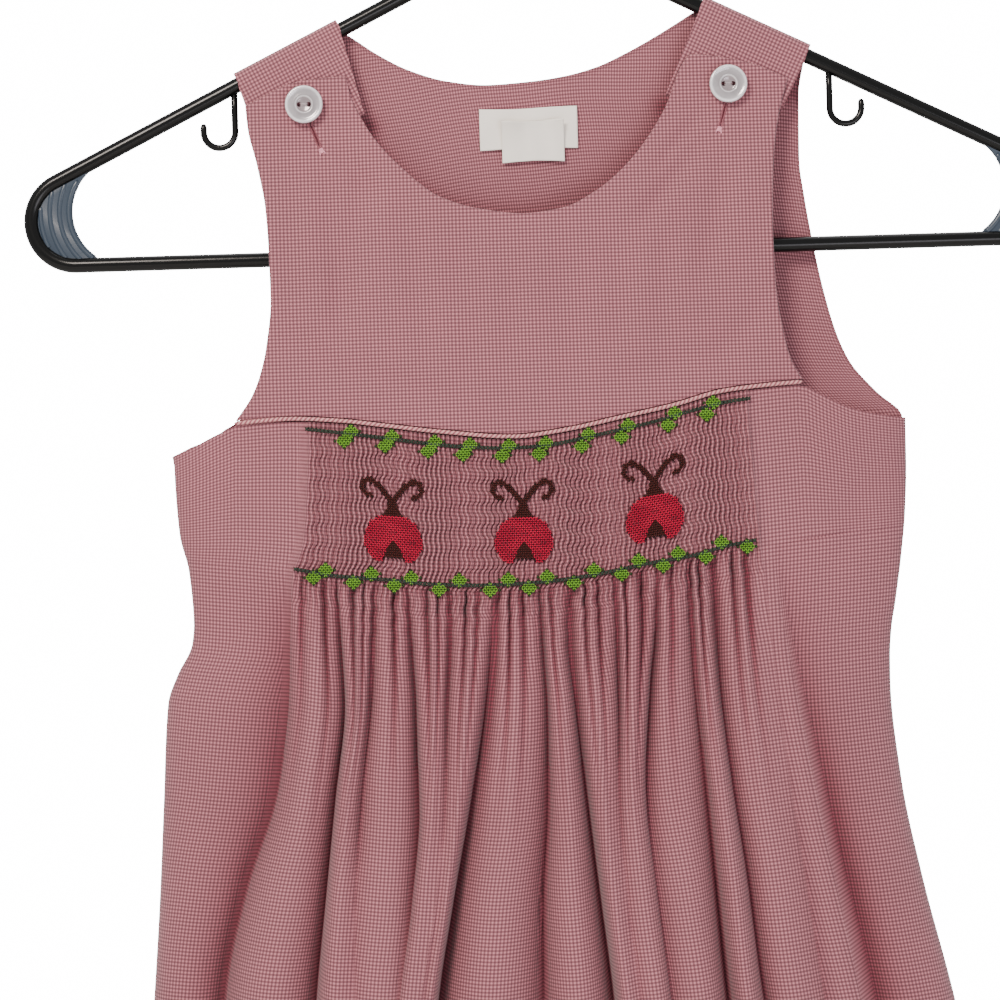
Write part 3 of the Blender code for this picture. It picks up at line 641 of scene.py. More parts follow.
# The valleys between the skirt's folds. LEVELS are their drops. Columns: name, pleat that the
# valley starts from, its x at each level, its depth at each level
LEVELS = (340, 365, 390, 430, 470, 510, 600, 700)
VALLEYS = (
    ("a", 0, (-105, -107, -108, -114, -128, -138, -147, -155), (0, 7, 10, 13, 16, 18, 19, 18)),
    ("b", 9, (-87, -86, -85, -90, -95, -100, -108, -116), (0, 6, 9, 13, 17, 19, 20, 19)),
    ("d", 18, (-70, -72, -74, -79, -82, -83, -86, -90), (0, 5, 8, 8, 4, 3, 6, 8)),
    ("e", 24, (-58, -57, -56, -56, -60, -66, -74, -80), (0, 6, 9, 12, 9, 4, 3, 4)),
    ("f", 33, (-40, -41, -43, -45, -50, -57, -64, -70), (0, 6, 7, 4, 0, 0, 0, 0)),
    ("g", 42, (-23, -25, -28, -35, -43, -50, -58, -66), (0, 6, 10, 15, 20, 22, 21, 19)),
    ("i", 51, (-5, -4, -3, -4, -7, -8, -10, -12), (0, 6, 9, 13, 16, 18, 18, 17)),
    ("j", 57, (7, 6.5, 8.5, 12, 16, 20, 26, 33), (0, 6, 9, 14, 19, 22, 22, 20)),
    ("l", 66, (25, 26, 26, 25, 27, 31, 38, 46), (0, 6, 8, 5, 3, 3, 5, 6)),
    ("m", 75, (43, 42, 39, 36, 39, 43, 51, 60), (0, 6, 9, 10, 8, 8, 10, 11)),
    ("n", 81, (55, 56, 57, 60, 63, 66, 74, 84), (0, 6, 8, 12, 16, 19, 20, 19)),
    ("o", 87, (67, 67, 67.5, 71, 76, 80, 92, 105), (0, 6, 8, 10, 12, 13, 13, 12)),
    ("end", 96, (86, 88, 90, 94, 99, 104, 116, 130), (0, 0, 1, 2, 4, 5, 6, 6)),
    ("p", 97.6, (92, 95.5, 100, 108, 116, 125, 140, 156), (0, 3, 6, 10, 13, 16, 18, 17)),
)
RIDGE_POWER = 0.6

# The gathers just under the smocking, three pleats in each. Columns: drop, depth
GATHER_PLEATS = 3
GATHERS = ((337, 0.0), (341, 2.4), (349, 4.6), (364, 4.4), (386, 2.8), (412, 1.4), (455, 0.0))

# Creases on the flats and folds of the skirt. Columns: x and drop of both ends, width, depth
SKIRT_CREASES = (
    (-152, 380, -118, 352, 4.0, 2.0),
    (-150, 372, -126, 340, 5.0, 1.2),
    (-140, 300, -118, 330, 6.0, 0.8),
    (-146, 292, -128, 312, 4.0, 0.7),
    (-120, 290, -112, 334, 5.0, 0.8),
    (-158, 400, -132, 470, 8.0, 1.4),
    (-150, 430, -140, 540, 9.0, 1.6),
    (-166, 520, -160, 640, 9.0, 1.8),
    (142, 300, 112, 332, 6.0, 0.9),
    (136, 316, 104, 356, 5.0, 1.0),
    (138, 360, 120, 300, 7.0, 0.8),
    (130, 380, 128, 470, 8.0, 1.4),
    (140, 440, 152, 560, 9.0, 1.8),
    (160, 540, 174, 680, 10.0, 2.0),
)


# %% Shape of one row
def skirt_top(x):
    seam = read(YOKE_SEAM, x) + PIPING_RADIUS + SEAM_GAP
    left, right = read(SKIRT_ARMHOLE_LEFT, x), read(SKIRT_ARMHOLE_RIGHT, x)
    return np.where(x < YOKE_SEAM[0][0], left, np.where(x > YOKE_SEAM[-1][0], right, seam))


def hem_drop(x):
    return HEM_DROP - HEM_RISE * (x / read(SIDE_SEAM, HEM_DROP, 2)) ** 2


def meet_seams(row_drop):
    """The x of both side seams on a row whose drop is a function of x."""
    found = []
    for side in (1, 2):
        x = 0.0
        for _ in range(6):
            x = float(read(SIDE_SEAM, row_drop(x), side))
        found.append(x)
    return found


def pleat_places(per_pleat):
    return np.arange(PLEATS * per_pleat + 1) / per_pleat


def pleat_shape(pleat):
    """1 on the crest of each pleat and 0 in the valley on each side of it."""
    return abs(np.sin(np.pi * pleat)) ** 0.8


def pleat_mood(pleat, seed):
    """An uneven but steady value from -1 to 1 for each pleat."""
    whole = np.floor(pleat)
    return np.sin(whole * 12.9898 + seed * 78.233 + np.sin(whole * 3.1 + seed))


def wave(pleat, drop):
    """How far the pleats of the panel sway sideways."""
    phase = 1.7 * np.sin(pleat * 0.16) + 0.8 * np.sin(pleat * 0.39 + 1.0)
    reach = 0.62 + 0.25 * np.sin(pleat * 0.31 + 2.0)
    turn = 2 * np.pi * drop / 9.0 + phase
    return reach * (np.sin(turn) + 0.22 * np.sin(3 * turn))


END_PLACE = 98.6
FLAT_SHARES = (1 - np.cos(np.linspace(0, np.pi / 2, 26)))[:-1]


def finish_row(pleat, x, extra, shade, row_drop, map_v):
    """Adds both flats to a row's folded middle and gives its (places, points, run, map, painted shade).
    """
    left, right = meet_seams(row_drop)
    start, end = pleat[0], pleat[-1]
    before = mix(left, x[0], FLAT_SHARES)
    after = mix(right, x[-1], FLAT_SHARES)[::-1]
    tail = mix(END_PLACE, end, FLAT_SHARES[::-1])
    place = np.concatenate([start - 1 + FLAT_SHARES, pleat, tail])
    fade = np.exp(-np.linspace(3.5, 0.12, len(FLAT_SHARES)) * 1.6)
    dips = np.concatenate([extra[0] * fade, extra, extra[-1] * fade[::-1]])
    xs = np.concatenate([before, x, after])
    drops = row_drop(xs)
    creased = crease_dip(xs, drops, SKIRT_CREASES) * section(xs, drops)
    depth = np.maximum(front_depth(xs, drops) - dips - creased, 0.25)
    points = np.stack([xs, -depth, drops], 1)
    steps = np.hypot(np.diff(points[:, 0]), np.diff(points[:, 1]))
    run = np.concatenate([[0.0], np.cumsum(steps)])
    # Painted shade, fading out over the flats as the folds do.
    painted_shade = np.concatenate([shade[0] * fade, shade, shade[-1] * fade[::-1]])
    return place, points, run, map_v, np.clip(painted_shade, 0, 1)


# %% Rows of the smocked panel
def smock_row(share):
    nominal = mix(SMOCK_TOP_DROP, SMOCK_FOOT_DROP, share)
    pleat = pleat_places(8)

    def row_drop(x):
        return mix(skirt_top(x), read(SMOCK_FOOT, x), share)

    start, end = read(SMOCK_SIDES, nominal, 1), read(SMOCK_SIDES, nominal, 2)
    x = mix(start, end, pleat / PLEATS)
    hold = smooth_step(0.0, 0.16, share) * smooth_step(0.0, 0.1, 1 - share)
    edge = np.clip(np.minimum(pleat, PLEATS - pleat) / 3, 0, 1)
    x = x + hold * edge * wave(pleat, row_drop(x))
    uneven = 1 + 0.18 * pleat_mood(pleat, 1) * edge
    height = (CREST - WALL + 0.45 * edge) * pleat_shape(pleat) * uneven
    sink = 0.5 * edge
    # Painted shade in the valleys between the pleats, deeper in some than in others.
    shade = edge * (1 - pleat_shape(pleat)) * (0.85 + 0.3 * pleat_mood(pleat + 0.5, 3))
    return finish_row(pleat, x, sink - height, shade, row_drop, SMOCK_CLOTH * share)


# %% Rows of the gathered skirt
def valleys_at(drop):
    """Pleat, x and depth of every valley at a drop."""
    pleats = np.array([row[1] for row in VALLEYS], float)
    x = np.array([read(tuple(zip(LEVELS, row[2])), drop) for row in VALLEYS])
    depth = np.array([read(tuple(zip(LEVELS, row[3])), drop) for row in VALLEYS])
    return pleats, x, depth


def gather_turn(pleat):
    """The count of gathers at a pleat, a little unevenly spaced."""
    return (pleat + 0.55 * np.sin(pleat * 0.83) + 0.35 * np.sin(pleat * 0.37 + 1)) / GATHER_PLEATS


def skirt_row(share, per_pleat):
    nominal = mix(LEVELS[0], HEM_DROP, share)

    def row_drop(x):
        return mix(read(SMOCK_FOOT, x), hem_drop(x), share)

    pleats, valley_x, valley_depth = valleys_at(nominal)
    pleat = np.concatenate([pleat_places(per_pleat), [96.4, 97.0, 97.6]])
    x = np.interp(pleat, pleats, valley_x)
    i = np.clip(np.searchsorted(pleats, pleat, side="right") - 1, 0, len(pleats) - 2)
    t = (pleat - pleats[i]) / (pleats[i + 1] - pleats[i])
    ridge = np.clip(np.sin(np.pi * np.clip(t, 0, 1)), 0, 1) ** RIDGE_POWER
    dip = mix(valley_depth[i], valley_depth[i + 1], t) * (1 - ridge)
    below = nominal - LEVELS[0]
    edge = np.clip(np.minimum(pleat, PLEATS - pleat) / 3, 0, 1)
    length = 11 + 7 * pleat_mood(pleat, 2)
    height = (CREST - WALL + 0.45 * edge) * np.exp(-((below / length) ** 1.5)) * (pleat <= PLEATS)
    dip = dip + 0.5 * edge * np.exp(-below / 12) - height * pleat_shape(pleat)
    turn = gather_turn(pleat)
    deep = read(GATHERS, nominal) * (0.8 + 0.4 * np.sin(np.floor(turn) * 2.4))
    groove = (1 - abs(np.sin(np.pi * turn))) ** 1.3
    dip = dip + deep * edge * (0.35 + 0.65 * ridge) * groove
    x = x + 0.5 * np.exp(-((below / 24) ** 2)) * edge * wave(pleat, nominal)
    local = np.maximum(mix(valley_depth[i], valley_depth[i + 1], t), 1.0)
    # Painted shade: darker in the valleys between the folds, in the grooves of the gathers and between
    # the pleats just under the panel.
    shade = (1 - ridge) ** 1.5 * np.minimum(local / 12, 1)
    shade = shade + 0.9 * edge * groove * read(GATHERS, nominal) / 3
    shade = shade + 0.8 * edge * (1 - pleat_shape(pleat)) * np.exp(-((below / length) ** 1.5))
    return finish_row(pleat, x, dip, shade, row_drop, SMOCK_CLOTH + (HEM_DROP - LEVELS[0]) * share)


# %% Skirt cloth
panel_rows = [smock_row(share) for share in np.linspace(0, 1, 50)]
gather_rows = [skirt_row(share, 8) for share in np.linspace(0.006, 0.03, 5)]
upper_rows = [skirt_row(share, 4) for share in np.linspace(0.037, 0.2, 24)]
lower_rows = [skirt_row(share, 2) for share in np.linspace(0.212, 1.0, 66)]
skirt_rows = panel_rows + gather_rows + upper_rows + lower_rows


def cloth_map(row):
    """The map of a row. The run of the cloth keeps its true length on each fold, and what a fold
    hides is taken up in the valley beside it."""
    place, points, run, map_v, shade = row
    knots = np.array([place[0], 0.0, *[valley[1] for valley in VALLEYS[1:-1]], place[-1]])
    cloth = np.array([0.0, *(LEFT_FLAT + PLEAT_CLOTH * knots[1:-1]), CLOTH_WIDTH])
    at_knots = np.interp(knots, place, run)
    fold = np.clip(np.searchsorted(knots, place, side="right") - 1, 0, len(knots) - 2)
    middle_run = (at_knots[fold] + at_knots[fold + 1]) / 2
    middle_cloth = (cloth[fold] + cloth[fold + 1]) / 2
    return np.stack([middle_cloth + run - middle_run, np.full(len(run), map_v)], 1)


skirt = cloth_mesh("skirt_cloth", [(row[0], row[1], cloth_map(row)) for row in skirt_rows])
paint_shade(skirt, np.concatenate([row[4] for row in skirt_rows]))
settle(skirt, gingham_cotton, "pink_smocking", "front_skirt")

# %% [markdown]
# ## The back
# The back is one plain piece, cut with two straps that go over the hanger's arms and end behind
# the yoke, where the buttons hold them. Its columns run from the strap's end over the arm and down
# to the hem, and the ones between the straps start at the neck.

# %% Back measures
ARM_TOP_DROP = 75.0
ARM_SLOPE = math.radians(26.17)
TUBE_RADIUS = 3.05

# The back armholes. Columns: drop, left x, right x
BACK_ARMHOLE = (
    (130, -122.2, 112.1),
    (146, -117.0, 109.2),
    (173, -110.0, 108.8),
    (187, -108.5, 110.4),
    (205, -107.5, 113.2),
    (224, -107.5, 116.8),
    (244, -110.0, 121.9),
    (257, -114.0, 127.4),
    (270, -122.0, 138.0),
    (280, -136.0, 147.5),
    (288, -152.5, 147.5),
)

# The back neck. Columns: x, drop
BACK_NECK = (
    (-79.5, 114.1),
    (-75.2, 116.8),
    (-65.1, 123.8),
    (-52.1, 130.8),
    (-36.6, 135.8),
    (-20.0, 137.9),
    (-1.1, 136.9),
    (12.1, 135.2),
    (25.4, 131.9),
    (38.8, 126.1),
    (49.3, 120.6),
    (60.2, 114.3),
    (69.0, 108.9),
)

# The back straps. Columns: outer x and inner x on the arm, then x and drop of the outer and the
# inner corner of the end behind the yoke
STRAPS = {
    "left": (-122.2, -79.5, -111.0, 170.0, -70.4, 149.7),
    "right": (112.1, 69.0, 94.5, 166.0, 53.5, 145.5),
}

# The back's creases. Columns: x and drop of both ends, width, depth
BACK_CREASES = (
    (-70, 150, -60, 260, 8.0, 0.8),
    (-20, 170, -26, 300, 9.0, 0.7),
    (30, 160, 40, 280, 8.0, 0.8),
    (80, 180, 60, 260, 6.0, 0.8),
    (-130, 300, -96, 340, 7.0, 1.2),
    (128, 300, 100, 350, 7.0, 1.2),
    (-60, 330, -70, 520, 10.0, 2.0),
    (10, 340, 4, 560, 11.0, 2.2),
    (90, 360, 112, 600, 10.0, 2.2),
    (-120, 400, -134, 640, 10.0, 2.2),
)
ARMPIT = BACK_ARMHOLE[-1][0]


# %% Back columns
def arm_drop(x):
    """The centre line of the hanger's arms."""
    return ARM_TOP_DROP + abs(x) * math.tan(ARM_SLOPE)


def back_sides(drop):
    left, right = read(SIDE_SEAM, drop, 1), read(SIDE_SEAM, drop, 2)
    above = drop < ARMPIT
    left = np.where(above, read(BACK_ARMHOLE, drop, 1), left)
    right = np.where(above, np.minimum(right, read(BACK_ARMHOLE, drop, 2)), right)
    return left, right


def strap_wrap(x, end_x, end_drop):
    """A strap's column from its end in front, over the arm, to just behind it."""
    radius = TUBE_RADIUS + SEAM_GAP + WALL
    up_x = math.copysign(math.sin(ARM_SLOPE), x)
    up_drop = -math.cos(ARM_SLOPE)
    lean = radius * math.tan(math.radians(12))
    front = np.linspace(1, 0, 16)[:-1]
    low_x, low_drop = mix(x, end_x, front), mix(arm_drop(x) + lean, end_drop, front)
    turns = np.radians(np.linspace(90, -62, 12))
    over = radius * np.cos(turns)
    xs = np.concatenate([low_x, x + over * up_x])
    ys = np.concatenate([np.full(len(front), -radius), -radius * np.sin(turns)])
    drops = np.concatenate([low_drop, arm_drop(x) + over * up_drop])
    return np.stack([xs, ys, drops], 1)


HIGH_SHARES = np.concatenate([[1.0, 0.995, 0.985], np.linspace(0.97, 0.02, 60)])
LOW_SHARES = np.linspace(0, 1, 110)


def back_column(x, top, strap=None, across=0.0):
    """A column of the back, from its top or its strap's end to the hem."""
    left, right = back_sides(top)
    share = np.clip((x - left) / (right - left), 0, 1)
    drops = mix(ARMPIT, top, HIGH_SHARES)
    left, right = back_sides(drops)
    high = np.stack([mix(left, right, share), drops], 1)
    drops = np.full(len(LOW_SHARES), float(ARMPIT))
    for _ in range(5):
        left, right = back_sides(drops)
        here = mix(left, right, share)
        drops = mix(ARMPIT, hem_drop(here), LOW_SHARES)
    body = np.concatenate([high, np.stack([here, drops], 1)])
    xs, drops = body[:, 0], body[:, 1]
    left, right = back_sides(drops)
    turned = rolled_edge(np.minimum(xs - left, right - xs)) * (drops < ARMPIT)
    if strap is None:
        turned = np.maximum(turned, rolled_edge(drops - top))
    depth = back_depth(xs, drops) - crease_dip(xs, drops, BACK_CREASES) * section(xs, drops) - turned
    points = np.stack([xs, np.maximum(depth, 0.25), drops], 1)
    if strap is None:
        return points
    _, _, outer_x, outer_drop, inner_x, inner_drop = strap
    wrap = strap_wrap(x, mix(outer_x, inner_x, across), mix(outer_drop, inner_drop, across))
    return np.concatenate([wrap, points])


# %% Back cloth
STRAP_COLUMNS = 26
strap_shares = (1 - np.cos(np.pi * np.linspace(0, 1, STRAP_COLUMNS))) / 2
back_columns = []
for share in strap_shares:
    x = mix(STRAPS["left"][0], STRAPS["left"][1], share)
    back_columns.append((True, back_column(x, arm_drop(x), STRAPS["left"], share)))
for x in np.linspace(BACK_NECK[0][0], BACK_NECK[-1][0], 88)[1:-1]:
    back_columns.append((False, back_column(x, read(BACK_NECK, x))))
for share in strap_shares[::-1]:
    x = mix(STRAPS["right"][0], STRAPS["right"][1], share)
    back_columns.append((True, back_column(x, arm_drop(x), STRAPS["right"], share)))

shape = bmesh.new()
back_map = shape.loops.layers.uv.new("cloth")
body_length = len(HIGH_SHARES) + len(LOW_SHARES)
laid = []
for strap, points in back_columns:
    steps = np.linalg.norm(np.diff(points, axis=0), axis=1)
    run = np.concatenate([[0.0], np.cumsum(steps)])
    run = run - run[-1] + HEM_DROP
    laid.append([(shape.verts.new((p[0] * MM, p[1] * MM, -p[2] * MM)), v) for p, v in zip(points, run)])


def column_u(column):
    """How far a column lies along the cloth, read where it crosses the chest."""
    return column[-len(LOW_SHARES)][0].co.x


def back_uv(corner, u, on_strap):
    """The map of a corner of the back. On a strap it is turned to lie along the arm."""
    place = corner[0].co
    if not on_strap:
        return u, corner[1] * MM
    side = math.copysign(1.0, place.x)
    across, down = place.x, -place.z
    along = across * math.cos(ARM_SLOPE) + side * down * math.sin(ARM_SLOPE)
    return along, down * math.cos(ARM_SLOPE) - side * across * math.sin(ARM_SLOPE)


for (is_strap, _), (next_strap, _), left_column, right_column in zip(
    back_columns, back_columns[1:], laid, laid[1:]
):
    whole = is_strap and next_strap
    left_part = left_column if whole else left_column[-body_length:]
    right_part = right_column if whole else right_column[-body_length:]
    u0, u1 = column_u(left_column), column_u(right_column)
    on_arm = len(left_part) - body_length
    for n, (a, b, c, d) in enumerate(zip(left_part, left_part[1:], right_part[1:], right_part)):
        face = shape.faces.new((a[0], d[0], c[0], b[0]))
        for loop, (u, corner) in zip(face.loops, ((u0, a), (u1, d), (u1, c), (u0, b))):
            loop[back_map].uv = back_uv(corner, u, n < on_arm)
mesh = bpy.data.meshes.new("back_cloth")
shape.to_mesh(mesh)
shape.free()
mesh.shade_smooth()
back = bpy.data.objects.new("back_cloth", mesh)
bpy.context.scene.collection.objects.link(back)

# Inside the neck the cloth is darkened with painted shade close to the front's edge, and with painted
# shadow under the ends of the straps.
# Columns: x, drop, reach
NECK_SHADOWS = ((-68.5, 153.5, 4.0), (52.0, 148.5, 4.0))
spots = np.empty(len(mesh.vertices) * 3)
mesh.vertices.foreach_get("co", spots)
spots = spots.reshape(-1, 3) / MM
above = read(FRONT_TOP, spots[:, 0]) + spots[:, 2]
painted_shade = 0.55 * np.exp(-np.clip(above, 0, None) / 5.0) * (above > -8)
for x, drop, reach in NECK_SHADOWS:
    painted_shade += 0.6 * np.exp(-((spots[:, 0] - x) ** 2 + (spots[:, 2] + drop) ** 2) / reach**2)
# Painted shade goes on the cloth behind the hanger's plane, not on the strap ends in front of it.
paint_shade(back, np.clip(painted_shade * (spots[:, 1] > 0), 0, 1))
thicken = back.modifiers.new("cloth", "SOLIDIFY")
thicken.thickness = 0.8 * MM
thicken.offset = -1.0
apply_modifiers(back)
settle(back, gingham_cotton, "pink_gingham", "back")

# %% [markdown]
# ## Tubes and threads
# Cords, wires and threads are all round tubes. The first function sweeps one ring of points along
# a path. The second makes many short threads as one mesh, because an embroidered panel has
# thousands: each is a few rings that swell in the middle and sink into the cloth at both ends.

# %% Tube and stitches
def tube_rings(path, radii, sides, phase=0.0, closed=False):
    """Rings of points round a path of (x, y, drop) that bends mostly in the plane of the dress."""
    path = np.asarray(path, float)
    if closed:
        run = np.roll(path, -1, axis=0) - np.roll(path, 1, axis=0)
    else:
        run = np.gradient(path, axis=0)
    run /= np.linalg.norm(run, axis=1, keepdims=True)
    out = np.cross(run, (0.0, 1.0, 0.0))
    out /= np.linalg.norm(out, axis=1, keepdims=True)
    up = np.cross(out, run)
    angles = phase + np.linspace(0, 2 * np.pi, sides + 1)
    radii = np.broadcast_to(np.asarray(radii, float), (len(path),))
    swell = radii[:, None, None]
    turn = np.cos(angles)[None, :, None] * out[:, None] + np.sin(angles)[None, :, None] * up[:, None]
    return path[:, None] + swell * turn


def weld(piece, distance=1e-6):
    """Joins points that lie together and turns all faces outwards."""
    shape = bmesh.new()
    shape.from_mesh(piece.data)
    bmesh.ops.remove_doubles(shape, verts=shape.verts, dist=distance)
    bmesh.ops.dissolve_degenerate(shape, edges=shape.edges, dist=distance)
    bmesh.ops.recalc_face_normals(shape, faces=shape.faces)
    shape.to_mesh(piece.data)
    shape.free()
    piece.data.shade_smooth()


def tube(name, path, radii, sides=12, closed=False, twist=0.0):
    """A swept tube. Its map runs along the path, slanted by twist, in mm."""
    rings = tube_rings(path, radii, sides, closed=closed)
    if closed:
        rings = np.concatenate([rings, rings[:1]])
        path = np.concatenate([path, path[:1]])
    steps = np.linalg.norm(np.diff(np.asarray(path, float), axis=0), axis=1)
    run = np.concatenate([[0.0], np.cumsum(steps)])
    around = np.arange(sides + 1) / sides
    rows = [
        (np.arange(sides + 1.0), ring, np.stack([length + twist * around, around], 1))
        for ring, length in zip(rings, run)
    ]
    made = cloth_mesh(name, rows)
    weld(made)
    return made


def stitches(name, ends, radius, lift=0.0, flat=1.0, sides=5, rings=5, tones=None):
    """Short threads between pairs of points (x, y, drop), each arched by its lift."""
    ends = np.asarray(ends, float)
    run = ends[:, 1] - ends[:, 0]
    run /= np.linalg.norm(run, axis=1, keepdims=True)
    out = np.cross(run, (0.0, 1.0, 0.0))
    out /= np.linalg.norm(out, axis=1, keepdims=True)
    up = np.cross(out, run) * flat
    t = np.linspace(0.0, 1.0, rings)
    bulge = np.sin(np.pi * t)
    swell = radius * np.maximum(bulge, 0) ** 0.5
    centre = ends[:, None, 0] + t[None, :, None] * (ends[:, None, 1] - ends[:, None, 0])
    centre[..., 1] -= lift * bulge[None, :]
    angles = np.linspace(0, 2 * np.pi, sides, endpoint=False)
    turn = np.cos(angles)[None, None, :, None] * out[:, None, None]
    turn = turn + np.sin(angles)[None, None, :, None] * up[:, None, None]
    body = centre[:, 1:-1, None] + swell[None, 1:-1, None, None] * turn[:, :, :]
    inner = rings - 2
    points = np.concatenate([body.reshape(len(ends), -1, 3), centre[:, [0, -1]]], axis=1)
    each = inner * sides + 2
    faces = []
    for m in range(sides):
        n = (m + 1) % sides
        faces.append((inner * sides, m, n, n))
        faces += [
            (k * sides + m, (k + 1) * sides + m, (k + 1) * sides + n, k * sides + n)
            for k in range(inner - 1)
        ]
        low = (inner - 1) * sides
        faces.append((low + m, inner * sides + 1, low + n, low + n))
    faces = np.array(faces)
    whole = (faces[None] + each * np.arange(len(ends))[:, None, None]).reshape(-1, 4).tolist()
    whole = [face[:3] if face[2] == face[3] else face for face in whole]
    mesh = bpy.data.meshes.new(name)
    mesh.from_pydata((points.reshape(-1, 3) * (MM, MM, -MM)).tolist(), [], whole)
    mesh.shade_smooth()
    tones = np.ones(len(ends)) if tones is None else np.asarray(tones)
    layer = mesh.attributes.new("tone", "FLOAT", "POINT")
    layer.data.foreach_set("value", np.repeat(tones, each).astype(np.float32))
    made = bpy.data.objects.new(name, mesh)
    bpy.context.scene.collection.objects.link(made)
    weld(made, 1e-9)
    return made


def floss(name, colour):
    """Six-strand embroidery cotton: dyed and mercerised, so it shines softly along the thread.
    In near-black it also makes the pads and the slits of painted shadow.
    """
    made, tree, shader = new_material(name, roughness=0.55, specular_ior_level=0.2)
    tone = node(tree, "ShaderNodeAttribute", {"attribute_name": "tone"})
    own_tone = {"Value": tone.outputs["Fac"]}
    dyed = node(tree, "ShaderNodeHueSaturation", {"Color": linear(colour)}, own_tone)
    tree.links.new(dyed.outputs[0], shader.inputs["Base Color"])
    return made


# %% [markdown]
# ## Piping
# The cord in the yoke seam is covered with a strip of the same gingham cut on the bias, so its
# checks run round it as slanted stripes. The sweep's map is slanted to match, and one band of the
# gingham shader becomes the stripe.

# %% Piping cord
CORD_STRIPE = 1.9

cord_x = np.linspace(YOKE_SEAM[0][0] + 0.3, YOKE_SEAM[-1][0] - 0.2, 420)
cord_drop = read(YOKE_SEAM, cord_x)
cord_y = -front_depth(cord_x, cord_drop) - WALL / 2 - SEAM_GAP
cord_path = np.stack([cord_x, cord_y, cord_drop], 1)
cord_ends = np.minimum(np.arange(420), np.arange(420)[::-1])
cord_radii = 0.85 * PIPING_RADIUS * np.sqrt(np.clip(cord_ends / 3, 0.0001, 1))
cord_radii *= 1 + 0.05 * np.sin(2 * np.pi * cord_x / CORD_STRIPE)
piping = tube("piping_cord", cord_path, cord_radii, sides=10, twist=2 * CORD_STRIPE)

bias_strip, tree, shader = new_material("bias strip of gingham", roughness=0.8, sheen_weight=0.15)
cord_map = node(tree, "ShaderNodeUVMap", {"uv_map": "cloth"})
cord_parts = node(tree, "ShaderNodeSeparateXYZ", links={0: cord_map.outputs[0]})
stripe = band(tree, cord_parts.outputs[0], CORD_STRIPE, 0.8)
striped = node(tree, "ShaderNodeValToRGB", links={0: stripe})
striped.color_ramp.elements[0].color = linear("#cb908d")
striped.color_ramp.elements[1].color = linear("#86434e")
tree.links.new(striped.outputs[0], shader.inputs["Base Color"])
settle(piping, bias_strip, "pink_piping", "yoke_piping")

# %% [markdown]
# ## Embroidery
# Smocking is sewn over the crests of the pleats. Two rows of dark green cable stitch hold the
# panel, with small leaves along them, and three ladybirds are worked between them. Leaves and
# ladybirds are a trellis: short slanted stitches that cross the pleats both ways and leave a small
# dark diamond of shade between them, which a dark pad of painted shadow under the threads fills.
# The charts below say which part of the trellis is worked in which colour, with sizes in
# millimetres from the middle of each motif.

# %% Places of the motifs
TRELLIS_ACROSS = 0.745
TRELLIS_DOWN = 0.93
THREAD_RADIUS = 0.29
CREST_HEIGHT = 1.15

# The cable rows. Columns: x, drop
TOP_VINE = (
    (-98.1, 278.7),
    (-87.6, 280.2),
    (-65.4, 283.5),
    (-48.4, 286.2),
    (-33.4, 288.0),
    (-15.0, 289.0),
    (-2.6, 288.6),
    (13.3, 286.2),
    (23.9, 284.1),
    (42.2, 280.4),
    (61.4, 275.5),
    (75.3, 272.6),
    (83.4, 271.6),
)
FOOT_VINE = (
    (-104.3, 335.4),
    (-87.8, 338.7),
    (-66.9, 340.8),
    (-45.6, 343.4),
    (-24.5, 344.2),
    (-4.3, 343.6),
    (16.7, 341.4),
    (38.3, 337.6),
    (59.4, 334.4),
    (70.0, 331.6),
    (83.8, 329.2),
)

# The leaves along the rows, by x
TOP_LEAVES = (-79.5, -62.9, -45.5, -31.3, -15.5, -0.5, 16.9, 33.1, 52.2, 68.0)
FOOT_UPPER_LEAVES = (-91.0, -72.4, -56.3, -36.9, -17.1, -1.4, 17.6, 35.8, 51.9, 69.7)
FOOT_LOWER_LEAVES = (-96.0, -79.8, -63.3, -45.1, -24.5, -8.8, 9.4, 28.8, 45.7, 63.1, 80.1)
LEAF_WIDTH = 6.6
LEAF_HEIGHT = 5.0

# The ladybirds. Columns: x, drop, slope of their rows
LADYBIRDS = ((-63.2, 324.5, 0.10), (-10.3, 326.5, 0.0), (43.0, 319.1, -0.14))

# Half of a ladybird. Columns: drop from the middle, half width of the body
BODY = (
    (-9.2, 5.6),
    (-7.4, 8.2),
    (-4.5, 10.3),
    (-1.0, 11.5),
    (2.5, 11.7),
    (5.5, 10.6),
    (8.0, 8.8),
    (9.3, 6.6),
)
HEAD = ((-16.6, 0.9), (-12.6, 2.2), (-9.0, 4.2))
TAIL = ((0.9, 0.7), (4.0, 2.6), (7.6, 4.4))
FEELER = (
    (0.6, -15.4),
    (3.4, -18.9),
    (6.0, -22.0),
    (8.9, -23.8),
    (11.3, -22.8),
    (12.2, -20.2),
    (10.8, -17.9),
    (8.4, -17.2),
)
FEELER_WIDTH = 0.95
SPOTS = ((-4.5, -5.2), (5.0, -5.0), (-7.6, 1.0), (7.8, 1.2), (0.0, -2.4), (-5.4, 6.0), (5.8, 6.2))


# %% Trellis
def within(table, x, drop):
    """Whether points lie inside an outline of (drop, half width)."""
    inside = (drop > table[0][0]) & (drop < table[-1][0])
    return inside & (abs(x) < read(table, drop))


def near_line(line, x, drop):
    """The distance of points from a line of (x, drop)."""
    nearest = np.full(np.shape(x), np.inf)
    for (x0, drop0), (x1, drop1) in zip(line, line[1:]):
        length = (x1 - x0) ** 2 + (drop1 - drop0) ** 2
        t = np.clip(((x - x0) * (x1 - x0) + (drop - drop0) * (drop1 - drop0)) / length, 0, 1)
        nearest = np.minimum(nearest, np.hypot(x - mix(x0, x1, t), drop - mix(drop0, drop1, t)))
    return nearest


